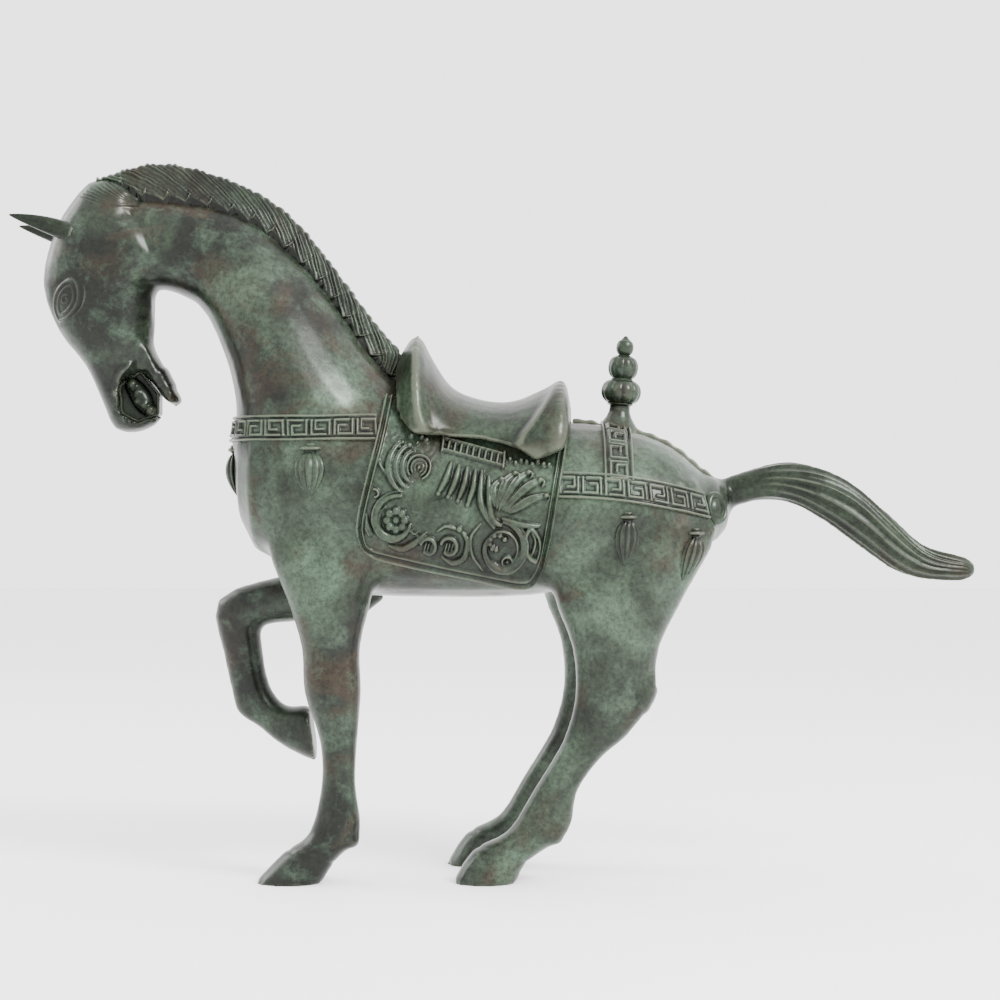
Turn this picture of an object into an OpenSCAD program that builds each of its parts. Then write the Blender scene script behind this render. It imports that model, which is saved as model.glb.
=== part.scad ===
// Cast bronze horse in parade saddlery, standing with its right fore leg raised.
// X runs from the head (negative) to the tail, the left side faces -Y, and +Z is up.
// The origin lies on the ground, under the middle of the figure.

/* [Castings] */
// Wall of the hollow body, neck and head castings
wall = 4; // [3:0.5:5]
// Width of the barrel at its widest
barrel_width = 106; // [100:1:112]
// Width of the neck at its base
neck_width = 90; // [84:1:96]
// Width of the skull across the eyes
head_width = 48; // [44:1:52]
// Distance between the left and right legs, centre to centre
leg_track = 62; // [58:1:66]
// Length of the lip by which one casting fits inside the next
lip = 8; // [5:1:10]
// Gap round each lip, filled by the braze on the real object
lip_gap = 0.2; // [0.1:0.1:0.4]
// Diameter of the pins that lock the leg joints
pin_diameter = 4; // [3:0.5:5]

/* [Stature] */
// Height of the withers, under the front of the saddle
withers_height = 280; // [278:1:282]
// Height of the back, under the seat
back_height = 245; // [243:1:247]
// Height of the belly
belly_height = 149; // [147:1:151]
// Height of the standing knee
knee_height = 100; // [97:1:103]
// Height of the hock
hock_height = 98; // [95:1:101]
// Height of the fetlocks of the standing legs
fetlock_height = 26; // [24:1:28]
// Depth of the cannon, front to back
cannon_depth = 18; // [16:0.5:20]
// Length of a hoof on the ground
hoof_length = 36; // [33:1:38]
// Width of a hoof on the ground
hoof_width = 29; // [27:1:31]

/* [Saddlery] */
// Height at which the breast band runs
band_height = 239; // [237:1:241]
// Width of the breast band and the crupper bands
band_width = 14; // [12:1:16]
// Thickness of the bands and straps
strap_thickness = 2.2; // [1.5:0.1:3]
// Thickness of the saddle cloth
cloth_thickness = 3.4; // [2.5:0.1:4]
// Width of the raised rim round the saddle cloth
rim_width = 5; // [3:1:7]
// Width of the strap over the croup
croup_strap_width = 16; // [12:1:18]
// Length of each tassel
tassel_length = 28; // [22:1:32]
// Diameter of the rosettes that end the crupper bands
rosette_diameter = 14; // [12:1:15]
// Drop of the crupper bands from the saddle cloth to their rosettes
crupper_drop = 14; // [12:1:16]

/* [Saddle] */
// Height of the pommel's peak
pommel_height = 290; // [287:1:292]
// Height of the seat at its lowest
seat_height = 254; // [252:1:257]
// Height of the cantle's peak
cantle_height = 267; // [264:1:269]
// Height of the saddle's lower edge, behind the pommel
saddle_hem = 236; // [233:1:239]
// Width of the saddle across the cantle
saddle_width = 106; // [98:1:108]

/* [Finial] */
// Height of the finial above the croup
finial_height = 45; // [42:1:48]
// Diameter of the lowest ball of the finial
ball_diameter = 21.6; // [18:0.2:24]
// Lean of the finial toward the tail
finial_lean = 5; // [0:1:8]
// Diameter of the stud that holds the finial
stud_diameter = 6; // [5:0.5:7]

/* [Hidden] */

bronze = "#4f5f50";
dark_bronze = "#3a423a";
worn_bronze = "#7d7a62";

span = 400;
track = leg_track / 2;
chest_front = -140;
torso_sides = 28;
neck_sides = 24;
head_sides = 22;
limb_sides = 18;
small_sides = 12;
round_sides = 32;
pin_sides = 24;

// A slice of a casting is [x, z, size, width, tilt]. Its size lies in the side view, at the
// angle tilt, and its width lies across the figure. A casting is a smooth skin through slices
// set at the landmarks of the animal, and round ends close it.

function upright(x, top, bottom, width) = [x, (top + bottom) / 2, top - bottom, width, 90];

function about(hub, angle, inner, outer, width) =
    let (r = (inner + outer) / 2)
    [hub[0] + r * cos(angle), hub[1] + r * sin(angle), outer - inner, width, angle];

// Chest, withers, girth, back, loin, croup and buttock
torso_slices = [
    upright(chest_front + 22, withers_height - 14, belly_height + 20, 0.84 * barrel_width),
    upright(-82, withers_height, belly_height + 3, 0.93 * barrel_width),
    upright(-30, back_height + 10, belly_height, 0.97 * barrel_width),
    upright(20, back_height, belly_height + 1, barrel_width),
    upright(60, back_height - 3, belly_height + 8, 0.97 * barrel_width),
    upright(92, back_height - 13, belly_height + 18, 0.83 * barrel_width),
    upright(112, back_height - 29, belly_height + 28, 0.58 * barrel_width)];
torso_ends = [22, 15];
torso_pear = 0.12;

// The neck arches round this hub, and the mane follows it
arch_hub = [-190, 242];
neck_slices = [
    about(arch_hub, -14, 50, 130, 0.94 * neck_width),
    about(arch_hub, 2, 51, 145, neck_width),
    about(arch_hub, 20, 53, 127, 0.92 * neck_width),
    about(arch_hub, 42, 59, 123, 0.73 * neck_width),
    about(arch_hub, 66, 72, 126, 0.53 * neck_width),
    about(arch_hub, 92, 77, 123, 0.42 * neck_width)];
neck_ends = [2, 6];
neck_pear = 0.22;

mane_width = 15;
mane_slices = [
    about(arch_hub, 13, 124, 144, 0.8 * mane_width),
    about(arch_hub, 38, 106, 134, mane_width),
    about(arch_hub, 60, 108, 140, mane_width),
    about(arch_hub, 84, 110, 142, mane_width),
    about(arch_hub, 97, 110, 136, 0.9 * mane_width)];
mane_ends = [6, 18];

// Poll, forehead, eyes, cheek, bridge, nose and muzzle
head_slices = [
    [-207, 357, 40, 0.80 * head_width, -27],
    [-210, 339, 56, 0.96 * head_width, -17],
    [-213, 315, 61, head_width, -5],
    [-209, 292, 51, 0.90 * head_width, 0],
    [-203, 274, 35, 0.70 * head_width, 0],
    [-200, 258, 25, 0.60 * head_width, 5],
    [-193, 247, 29, 0.60 * head_width, 14]];
head_ends = [17, 9];

// Lower jaw, from the cheek to the lip
jaw_slices = [
    [-189, 282, 12, 0.60 * head_width, 0],
    [-182, 268, 14, 0.52 * head_width, -14],
    [-174, 257, 13, 0.46 * head_width, -22]];
jaw_ends = [6, 5];

ear_slices = [
    [-230, 344, 14, 13, 112],
    [-241, 349, 10, 10, 112],
    [-249, 352, 6, 7, 112]];
ear_ends = [2, 11];
ear_out = 13;
far_ear_drop = 3;

// A leg is drawn down from inside the body to just below the ground
elbow_height = 148;
below_ground = -2;
standing_fore_slices = [
    [-90, elbow_height + 52, 50, 24, 0],
    [-90, elbow_height + 30, 60, 33, 0],
    [-87, elbow_height, 44, 32, 0],
    [-86, (elbow_height + knee_height) / 2, 31, 27, 0],
    [-85, knee_height, 30, 26, 0],
    [-82, knee_height - 25, 20, 20, 0],
    [-82, fetlock_height + 26, cannon_depth, 18, 0],
    [-84, fetlock_height, 27, 22, 0],
    [-97, fetlock_height / 2 + 1, 28, 25, -8],
    [-110, below_ground, hoof_length, hoof_width, 0]];

// Shoulder, elbow, forearm, knee, cannon, fetlock, pastern, coronet and sole
raised_fore_slices = [
    [-78, 160, 44, 25, 145],
    [-91, 149, 38, 28, 135],
    [-111, 147, 28, 26, 118],
    [-140, 139, 29, 24, 150],
    [-139, 117, 22, 20, 178],
    [-135, 98, 21, 19, 190],
    [-131, 88, 23, 20, 200],
    [-123, 82, 19, 20, 218],
    [-115, 78, 23, 24, 235],
    [-100, 72, 31, hoof_width, 278]];

// Croup, thigh, stifle, gaskin, hock, cannon, fetlock, coronet and sole
hind_slices = [
    [75, 212, 64, 32, 0],
    [74, 186, 88, 40, 0],
    [66, 152, 70, 40, 0],
    [64, hock_height + 26, 46, 30, 0],
    [63, hock_height, 41, 25, 0],
    [54, hock_height - 20, 33, 21, 0],
    [44, hock_height - 32, 25, 19, 0],
    [32, fetlock_height + 22, 1.3 * cannon_depth, 18, 0],
    [23, fetlock_height + 1, 32, 21, 0],
    [3, fetlock_height / 2 + 1, 29, 25, -12],
    [-6, below_ground, 0.95 * hoof_length, hoof_width, 0]];
far_hind_step = -4.5;

// Upper legs draw in toward the middle of the body above this height
splay = 5;
splay_height = 130;
splay_rise = 70;

tail_slices = [
    [116, 201, 17, 16, 105],
    [138, 209, 17, 17, 100],
    [160, 211, 22, 22, 88],
    [183, 202, 25, 26, 62],
    [205, 185, 23, 25, 52],
    [226, 169, 19, 21, 60],
    [247, 165, 15, 15, 82]];
tail_ends = [3, 13];

// Front of the pommel, its peak and back, the seat, and the cantle's face and peak
saddle_floor = saddle_hem - 42;
saddle_slices = [
    upright(-49, pommel_height - 8, saddle_floor, 0.80 * saddle_width),
    upright(-41, pommel_height, saddle_floor, 0.94 * saddle_width),
    upright(-32, pommel_height - 15, saddle_floor, 0.93 * saddle_width),
    upright(-20, seat_height + 6, saddle_floor, 0.93 * saddle_width),
    upright(6, seat_height, saddle_floor, 0.95 * saddle_width),
    upright(28, cantle_height - 5, saddle_floor, saddle_width),
    upright(36, cantle_height, saddle_floor, 0.97 * saddle_width)];
saddle_ends = [6, 6];

// Corners of pieces seen from the side. Rounding trims them.
saddle_corners = [[-57, 300], [-57, 250], [-41, saddle_hem], [-6, saddle_hem - 3],
                  [11, saddle_hem - 7], [22, saddle_hem - 14], [36, saddle_hem - 8], [42, 244],
                  [42, 300]];
saddle_rounding = 3;
cloth_corners = [[-46, 290], [-62, 230], [-75, 175], [26, 153], [42, 250], [42, 290]];
cloth_rounding = 11;
mouth_corners = [[-190, 271], [-202, 263], [-201, 248], [-192, 243], [-178, 248], [-158, 247],
                 [-158, 250], [-171, 251], [-179, 257]];
mouth_rounding = 1.5;
tongue_width = 14;
lip_end = -180;

// The crupper band droops as a parabola from the saddle cloth to its rosette
crupper_start = 30;
crupper_end = 120;
crupper_height = 209;
function crupper_at(x) =
    crupper_height - crupper_drop * pow((x - crupper_start) / (crupper_end - crupper_start), 2);

rosette_x = 114;
rosette_out = 27;
rosette_turn = 40;

// Seams between the castings
neck_seam = band_height;
saddle_seam = -54;
leg_seam = 146;
elbow_seam = 123;
knee_seam = -121;
chest_low = 163;
head_seam = -184;
skull_floor = 290;
jaw_back = -150;
head_region = [[-300, 400], [head_seam, 400], [head_seam, 298], [jaw_back, 288], [jaw_back, 218],
               [-300, 218]];

rim_proud = 1;
rim_top = 234;
tassel_proud = 3;
trim_depth = 36;
collar = 3;

// The finial stands on a pad, and its stud passes through the croup to a nut
finial_foot = [67, 0, 245];
pad_low = 236;
pad_low_radius = 13;
pad_top_radius = 9;
stud_length = 14;
nut_width = 11;
nut_height = 4;

peg_start = [106, 0, 204];
peg_diameter = 10;
peg_length = 20;
spine_width = 9;
spine_low = 198;

// Leg pins: [x, y, z, length]
pin_height = leg_seam + lip / 2;
leg_pins = [[-88, -track, pin_height, 26],
            [knee_seam + lip / 2, track, pin_height, 20],
            [64, -track, pin_height, 34],
            [64 + far_hind_step, track, pin_height, 34]];
plug_diameter = 4;
skull_plug = [-199, 18, 297];
belly_plug = [0, 14, 151];

function smooth(a, b, c, d, t) =
    0.5 * (2 * b + (c - a) * t + (2 * a - 5 * b + 4 * c - d) * t * t
           + (3 * b - a - 3 * c + d) * t * t * t);

function pick(rows, i) = rows[max(0, min(len(rows) - 1, i))];

function between(rows, i, t) =
    smooth(pick(rows, i - 1), pick(rows, i), pick(rows, i + 1), pick(rows, i + 2), t);

function filled_in(rows, steps) =
    [for (i = [0 : len(rows) - 2], s = [0 : steps - 1]) between(rows, i, s / steps),
     rows[len(rows) - 1]];

function centre(s) = [s[0], 0, s[1]];

// Direction square to a slice, pointing away from its neighbour
function outward(s, neighbour) =
    let (square = [sin(s[4]), 0, -cos(s[4])])
    square * (centre(s) - centre(neighbour)) > 0 ? square : -square;

// A quarter-round end: slices that shrink as a circle does, over the length given
function round_end(s, neighbour, length, steps) =
    [for (k = [1 : steps])
        let (a = 84 * k / steps,
             c = centre(s) + outward(s, neighbour) * length * sin(a))
        [c[0], c[2], s[2] * cos(a), s[3] * cos(a), s[4]]];

function reversed(list) = [for (i = [len(list) - 1 : -1 : 0]) list[i]];

function closed_rows(slices, ends, steps) =
    let (n = len(slices))
    concat(ends[0] > 0 ? reversed(round_end(slices[0], slices[1], ends[0], steps)) : [],
           filled_in(slices, steps),
           ends[1] > 0 ? round_end(slices[n - 1], slices[n - 2], ends[1], steps) : []);

// How the skin leans at one slice: [share across the slice, shift along the casting]
function lean(rows, i) =
    let (a = pick(rows, i - 1),
         b = pick(rows, i + 1),
         along = centre(b) - centre(a),
         slope = (b[2] + b[3] - a[2] - a[3]) / 4 / norm(along),
         across = 1 / sqrt(1 + slope * slope))
    [across, along * slope * across / norm(along)];

// One closed ring of points round a slice, with the skin drawn in by inset
function ring(rows, i, inset, sides, pear, drawn_in) =
    let (s = rows[i],
         tilt = lean(rows, i),
         step_in = drawn_in * max(0, (s[1] - splay_height) / splay_rise),
         middle = centre(s) + inset * tilt[1] + [0, step_in, 0],
         half_size = max(0.3, s[2] / 2 - inset * tilt[0]),
         half_width = max(0.3, s[3] / 2 - inset * tilt[0]))
    [for (j = [0 : sides - 1])
        let (a = 360 * j / sides)
        middle + [half_size * cos(s[4]) * cos(a),
                  half_width * sin(a) * (1 - pear * cos(a)),
                  half_size * sin(s[4]) * cos(a)]];

// Closed skin through slices. Pear narrows it toward the far end of each slice.
module loft(slices, inset = 0, sides = 24, steps = 3, ends = [0, 0], pear = 0, drawn_in = 0) {
    rows = closed_rows(slices, ends, steps);
    n = len(rows);
    points = [for (i = [0 : n - 1]) each ring(rows, i, inset, sides, pear, drawn_in)];
    skin = [for (j = [0 : n - 2], i = [0 : sides - 1])
        let (a = j * sides + i,
             b = j * sides + (i + 1) % sides)
        each [[a, a + sides, b + sides], [a, b + sides, b]]];
    caps = [[for (i = [0 : sides - 1]) i],
            [for (i = [sides - 1 : -1 : 0]) (n - 1) * sides + i]];
    faces = concat(skin, caps);
    travel = centre(rows[1]) - centre(rows[0]);
    turn = travel[2] * cos(rows[0][4]) - travel[0] * sin(rows[0][4]);
    polyhedron(points, turn > 0 ? faces : [for (f = faces) reversed(f)]);
}

// Solid prism through the figure, from an outline seen from the side
module from_side(corners, rounding = 0, depth = span, inset = 0) {
    rotate([90, 0, 0])
        linear_extrude(depth, center = true)
            offset(r = rounding - inset, $fn = round_sides)
                offset(delta = -rounding)
                    polygon(corners);
}

module slab(x1, x2, z1, z2) {
    translate([x1, -span / 2, z1])
        cube([x2 - x1, span, z2 - z1]);
}

// One closed organic skin: a size of zero keeps every length as drawn
module cast(colour) {
    color(colour)
        resize([0, 0, 0])
            children();
}

// A leg on the left side of the body
module leg_form(slices, inset = 0, sides = limb_sides, steps = 3) {
    translate([0, -track, 0])
        loft(slices, inset, sides, steps, drawn_in = splay);
}

module on_the_right() {
    mirror([0, 1, 0])
        children();
}

module near_fore_form(inset = 0, sides = limb_sides, steps = 3) {
    leg_form(standing_fore_slices, inset, sides, steps);
}

module far_fore_form(inset = 0, sides = limb_sides, steps = 3) {
    on_the_right()
        leg_form(raised_fore_slices, inset, sides, steps);
}

module near_hind_form(inset = 0, sides = limb_sides, steps = 3) {
    leg_form(hind_slices, inset, sides, steps);
}

module far_hind_form(inset = 0, sides = limb_sides, steps = 3) {
    translate([far_hind_step, 0, 0])
        on_the_right()
            near_hind_form(inset, sides, steps);
}

module torso_form(inset = 0, sides = torso_sides, steps = 3) {
    loft(torso_slices, inset, sides, steps, torso_ends, torso_pear);
}

module neck_form(inset = 0, sides = neck_sides, steps = 3) {
    loft(neck_slices, inset, sides, steps, neck_ends, neck_pear);
}

module skull_form(inset = 0, sides = head_sides, steps = 3) {
    loft(head_slices, inset, sides, steps, head_ends);
}

module head_form() {
    skull_form();
    loft(jaw_slices, 0, small_sides, 3, jaw_ends);
}

module trunk_form(inset = 0) {
    torso_form(inset);
    neck_form(inset);
}

// The inner faces of the castings are plainer than the outer ones
module trunk_core(inset) {
    torso_form(inset, small_sides, 2);
    neck_form(inset, small_sides, 2);
}

module body_form(inset = 0) {
    trunk_form(inset);
    near_fore_form(inset);
    far_fore_form(inset);
    near_hind_form(inset);
    far_hind_form(inset);
}

module torso_region() {
    slab(-span, span, leg_seam, span);
    translate([knee_seam, 0, elbow_seam])
        cube([-knee_seam + saddle_seam, span, leg_seam - elbow_seam + 1]);
}

module raised_leg_region() {
    slab(-span, knee_seam, 0, chest_low);
    slab(-span, span, 0, elbow_seam);
}

// The hollow inside the castings, which opens at each seam
module hollow() {
    trunk_core(wall);
    intersection() {
        union() {
            near_fore_form(wall, small_sides, 1);
            near_hind_form(wall, small_sides, 1);
            far_hind_form(wall, small_sides, 1);
        }
        slab(-span, span, leg_seam - 1, span);
    }
    intersection() {
        far_fore_form(wall, small_sides, 1);
        slab(knee_seam - 1, span, 0, span);
    }
}

// A ring of metal inside a casting's wall, cut to the slab given
module inner_ring(inset) {
    difference() {
        intersection() {
            trunk_core(inset);
            children();
        }
        trunk_core(2 * wall);
    }
}

module pins(extra = 0) {
    for (p = leg_pins)
        translate([p[0], p[1], p[2]])
            rotate([90, 0, 0])
                cylinder(d = pin_diameter + extra, h = p[3], center = true, $fn = pin_sides);
}

// Plugs in the holes left by the core pins, set just below the skin
module plugs(extra = 0) {
    depth = wall - 0.6 + extra;
    for (side = [-1, 1]) {
        translate([skull_plug[0], side * (skull_plug[1] - wall / 2), skull_plug[2]])
            rotate([90, 0, 0])
                cylinder(d = plug_diameter + extra, h = depth, center = true, $fn = pin_sides);
        translate([belly_plug[0], side * belly_plug[1], belly_plug[2]])
            cylinder(d = plug_diameter + extra, h = depth, center = true, $fn = pin_sides);
    }
}

// Places a piece of the finial on the croup
module on_croup(raise = 0) {
    translate(finial_foot)
        rotate([0, finial_lean, 0])
            translate([0, 0, raise])
                children();
}

module stud(extra = 0) {
    on_croup(-stud_length)
        cylinder(d = stud_diameter + extra, h = stud_length + 1, $fn = pin_sides);
}

module tail_peg(extra = 0) {
    translate(peg_start)
        rotate([0, 90, 0])
            cylinder(d = peg_diameter + extra, h = peg_length, $fn = pin_sides);
}

module torso_casting() {
    cast(bronze)
        difference() {
            intersection() {
                body_form();
                torso_region();
            }
            intersection() {
                slab(-span, saddle_seam, neck_seam, span);
                trunk_form(-1);
            }
            raised_leg_region();
            hollow();
            pins(lip_gap);
            plugs(lip_gap);
            stud(1);
            tail_peg(2 * lip_gap);
        }
}

module neck_casting() {
    cast(bronze) {
        difference() {
            intersection() {
                trunk_form();
                slab(head_seam, saddle_seam, neck_seam, span);
            }
            trunk_core(wall);
        }
        inner_ring(wall + lip_gap)
            slab(-span, saddle_seam - wall, neck_seam - lip, neck_seam + 1);
        inner_ring(wall - 1)
            slab(-span, saddle_seam - wall, neck_seam, neck_seam + collar);
    }
}

module head_casting() {
    cast(bronze) {
        difference() {
            intersection() {
                union() {
                    head_form();
                    neck_form();
                }
                from_side(head_region);
            }
            intersection() {
                union() {
                    skull_form(wall, small_sides, 2);
                    neck_form(wall, small_sides, 2);
                }
                slab(-span, span, skull_floor, span);
            }
            from_side(mouth_corners, mouth_rounding);
            plugs(lip_gap);
        }
        inner_ring(wall + lip_gap)
            slab(head_seam - 1, head_seam + lip, skull_floor, span);
        inner_ring(wall - 1)
            slab(head_seam - collar, head_seam, skull_floor, span);
    }
}

module tongue_and_teeth() {
    cast(worn_bronze)
        intersection() {
            from_side(mouth_corners, mouth_rounding, tongue_width);
            slab(-span, lip_end, 0, span);
        }
}

module mane_crest() {
    cast(dark_bronze)
        difference() {
            loft(mane_slices, 0, small_sides, 3, mane_ends);
            trunk_form();
            head_form();
        }
}

module ear(side) {
    cast(bronze)
        difference() {
            translate([0, side * ear_out, side > 0 ? -far_ear_drop : 0])
                loft(ear_slices, 0, small_sides, 3, ear_ends);
            head_form();
        }
}

module near_ear() {
    ear(-1);
}

module far_ear() {
    ear(1);
}

// A straight leg below its seam, with the peg that enters the body casting
module leg_with_peg() {
    cast(bronze)
        difference() {
            union() {
                intersection() {
                    children(0);
                    slab(-span, span, 0, leg_seam);
                }
                intersection() {
                    children(1);
                    slab(-span, span, leg_seam - 1, leg_seam + lip);
                }
            }
            pins(lip_gap);
        }
}

module near_fore_leg() {
    leg_with_peg() {
        near_fore_form();
        near_fore_form(wall + lip_gap, small_sides, 1);
    }
}

module near_hind_leg() {
    leg_with_peg() {
        near_hind_form();
        near_hind_form(wall + lip_gap, small_sides, 1);
    }
}

module far_hind_leg() {
    leg_with_peg() {
        far_hind_form();
        far_hind_form(wall + lip_gap, small_sides, 1);
    }
}

module far_fore_leg() {
    cast(bronze)
        difference() {
            union() {
                intersection() {
                    far_fore_form();
                    raised_leg_region();
                }
                intersection() {
                    far_fore_form(wall + lip_gap, small_sides, 1);
                    slab(knee_seam - 1, knee_seam + lip, elbow_seam, chest_low);
                }
            }
            pins(lip_gap);
        }
}

module tail_casting() {
    cast(bronze) {
        difference() {
            loft(tail_slices, 0, limb_sides, 3, tail_ends);
            trunk_form();
        }
        tail_peg();
    }
}

module saddle() {
    cast(worn_bronze)
        difference() {
            intersection() {
                loft(saddle_slices, 0, torso_sides, 3, saddle_ends);
                from_side(saddle_corners, saddle_rounding);
            }
            trunk_form(-cloth_thickness);
        }
}

module half(side) {
    translate([-span, side < 0 ? -2 * span : 0, 0])
        cube([2 * span, 2 * span, 2 * span]);
}

// A raised piece that lies on the body's surface, inside the outline given
module applied(proud) {
    cast(dark_bronze)
        difference() {
            intersection() {
                body_form(-proud);
                children();
            }
            body_form();
        }
}

module cloth_prism(inset = 0) {
    from_side(cloth_corners, cloth_rounding, inset = inset);
}

module saddle_cloth(side) {
    cast(dark_bronze)
        difference() {
            intersection() {
                union() {
                    intersection() {
                        body_form(-cloth_thickness);
                        cloth_prism();
                    }
                    intersection() {
                        body_form(-cloth_thickness - rim_proud);
                        difference() {
                            cloth_prism();
                            cloth_prism(rim_width);
                            slab(-span, span, rim_top, span);
                        }
                    }
                }
                half(side);
            }
            body_form();
        }
}

module near_saddle_cloth() {
    saddle_cloth(-1);
}

module far_saddle_cloth() {
    saddle_cloth(1);
}

module breast_band() {
    applied(strap_thickness)
        difference() {
            slab(-span, saddle_seam, band_height - band_width / 2, band_height + band_width / 2);
            cloth_prism();
        }
}

module crupper_prism() {
    line = [for (x = [crupper_start : 15 : crupper_end]) [x, crupper_at(x)]];
    edge = [0, band_width / 2];
    from_side(concat([for (p = line) p + edge], reversed([for (p = line) p - edge])));
}

module crupper_band(side) {
    applied(strap_thickness)
        intersection() {
            difference() {
                crupper_prism();
                cloth_prism();
                rosette_disc(side);
                slab(rosette_x - rosette_diameter / 3, span, 0, span);
            }
            half(side);
        }
}

module near_crupper_band() {
    crupper_band(-1);
}

module far_crupper_band() {
    crupper_band(1);
}

// Turns a piece drawn at the origin to face outward at a place on the left, or mirrors it
module facing(x, out, turn, side) {
    mirror([0, side > 0 ? 1 : 0, 0])
        translate([x, -out, 0])
            rotate([0, 0, turn])
                children();
}

module rosette_disc(side) {
    facing(rosette_x, rosette_out, rosette_turn, side)
        translate([0, 0, crupper_at(rosette_x)])
            rotate([90, 0, 0])
                cylinder(d = rosette_diameter, h = trim_depth, center = true, $fn = round_sides);
}

module near_rosette() {
    applied(tassel_proud)
        rosette_disc(-1);
}

module far_rosette() {
    applied(tassel_proud)
        rosette_disc(1);
}

croup_left = finial_foot[0] - croup_strap_width / 2 - 1;
croup_right = croup_left + croup_strap_width;

module croup_strap() {
    cast(dark_bronze)
        difference() {
            union() {
                intersection() {
                    body_form(-strap_thickness);
                    slab(croup_left, croup_right, crupper_height, span);
                }
                translate([finial_foot[0], 0, pad_low])
                    cylinder(r1 = pad_low_radius, r2 = pad_top_radius,
                             h = finial_foot[2] - pad_low, $fn = round_sides);
            }
            body_form();
            crupper_prism();
            stud(1);
        }
}

module spine_strap(x1, x2) {
    applied(strap_thickness)
        translate([x1, -spine_width / 2, spine_low])
            cube([x2 - x1, spine_width, span]);
}

module front_spine_strap() {
    spine_strap(42, croup_left);
}

module rear_spine_strap() {
    spine_strap(croup_right, 112);
}

// A hanging tassel: gathered at the top, full below the middle, and pointed
module tassel(x, out, top, width, tip_lean = 0, turn = 0, side = -1) {
    r = width / 2;
    low = top - tassel_length;
    applied(tassel_proud)
        facing(x, out, turn, side)
            rotate([90, 0, 0])
                linear_extrude(trim_depth, center = true)
                    hull() {
                        translate([0, top - r / 2])
                            circle(r / 2, $fn = 20);
                        translate([0.4 * tip_lean, low + 0.5 * tassel_length])
                            circle(r, $fn = 28);
                        translate([0.7 * tip_lean, low + 0.28 * tassel_length])
                            circle(0.8 * r, $fn = 28);
                        translate([tip_lean, low + 1.5])
                            circle(1.5, $fn = 16);
                    }
}

below_band = band_height - band_width / 2 - 1;

module chest_tassel(side) {
    tassel(-96, 45, below_band, 14, side = side);
}

module croup_tassel(side) {
    tassel(70, 45, crupper_at(70) - band_width / 2 - 4, 12, -2, side = side);
}

module dock_tassel(side) {
    tassel(rosette_x - 8, 36, crupper_at(rosette_x) - 10, 11, -6, 25, side);
}

module chest_tassel_near() {
    chest_tassel(-1);
}

module chest_tassel_far() {
    chest_tassel(1);
}

module chest_tassel_front() {
    tassel(chest_front, 0, below_band, 12, turn = -90);
}

module croup_tassel_near() {
    croup_tassel(-1);
}

module croup_tassel_far() {
    croup_tassel(1);
}

module dock_tassel_near() {
    dock_tassel(-1);
}

module dock_tassel_far() {
    dock_tassel(1);
}

// Outline of one ball of the finial, bulging from the neck below it to the neck above
function ball(radius, low, high, neck) =
    [for (a = [-90 : 22.5 : 90])
        [neck + (radius - neck) * cos(a), (low + high) / 2 + (high - low) / 2 * sin(a)]];

module finial() {
    h = finial_height;
    r = ball_diameter / 2;
    profile = concat(
        [[0, 0], [pad_top_radius, 0], [0.6 * r, 0.06 * h], [0.48 * r, 0.14 * h]],
        ball(r, 0.17 * h, 0.47 * h, 0.48 * r),
        ball(0.75 * r, 0.49 * h, 0.75 * h, 0.42 * r),
        ball(0.44 * r, 0.77 * h, 0.95 * h, 0.2 * r),
        [[0, h]]);
    color(bronze) {
        on_croup()
            rotate_extrude($fn = 48)
                polygon(profile);
        stud();
    }
}

module finial_nut() {
    color(worn_bronze)
        on_croup(0.5 - stud_length)
            difference() {
                cylinder(d = nut_width, h = nut_height, $fn = 6);
                translate([0, 0, -1])
                    cylinder(d = stud_diameter, h = nut_height + 2, $fn = pin_sides);
            }
}

module joint_pins() {
    color(worn_bronze)
        pins();
}

module core_plugs() {
    color(worn_bronze)
        plugs();
}

torso_casting();
neck_casting();
head_casting();
tongue_and_teeth();
mane_crest();
near_ear();
far_ear();
near_fore_leg();
far_fore_leg();
near_hind_leg();
far_hind_leg();
tail_casting();
saddle();
near_saddle_cloth();
far_saddle_cloth();
breast_band();
near_crupper_band();
far_crupper_band();
croup_strap();
front_spine_strap();
rear_spine_strap();
finial();
finial_nut();
chest_tassel_near();
chest_tassel_far();
chest_tassel_front();
croup_tassel_near();
croup_tassel_far();
dock_tassel_near();
dock_tassel_far();
near_rosette();
far_rosette();
joint_pins();
core_plugs();
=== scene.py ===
import math
from contextlib import contextmanager

import bmesh
import bpy
import numpy as np
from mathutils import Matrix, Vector
from mathutils.bvhtree import BVHTree


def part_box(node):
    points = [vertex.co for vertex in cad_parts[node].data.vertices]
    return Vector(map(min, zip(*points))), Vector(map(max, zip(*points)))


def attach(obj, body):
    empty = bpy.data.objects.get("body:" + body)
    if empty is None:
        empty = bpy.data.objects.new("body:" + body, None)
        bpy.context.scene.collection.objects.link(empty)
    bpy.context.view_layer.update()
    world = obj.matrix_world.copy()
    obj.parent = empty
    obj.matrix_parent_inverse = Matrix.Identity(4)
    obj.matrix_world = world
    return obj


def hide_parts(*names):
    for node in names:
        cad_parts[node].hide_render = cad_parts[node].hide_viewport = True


# Cast bronze horse in parade saddlery. The head is toward -X, the left side faces -Y.
# Lengths are in metres; MM turns millimetres into them.

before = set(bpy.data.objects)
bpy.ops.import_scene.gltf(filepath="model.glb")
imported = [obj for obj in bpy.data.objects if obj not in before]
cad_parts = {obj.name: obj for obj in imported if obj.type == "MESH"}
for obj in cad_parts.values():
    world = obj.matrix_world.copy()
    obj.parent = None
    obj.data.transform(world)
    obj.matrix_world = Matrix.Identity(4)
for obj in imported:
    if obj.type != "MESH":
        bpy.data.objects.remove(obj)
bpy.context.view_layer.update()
MM = 0.001

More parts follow.
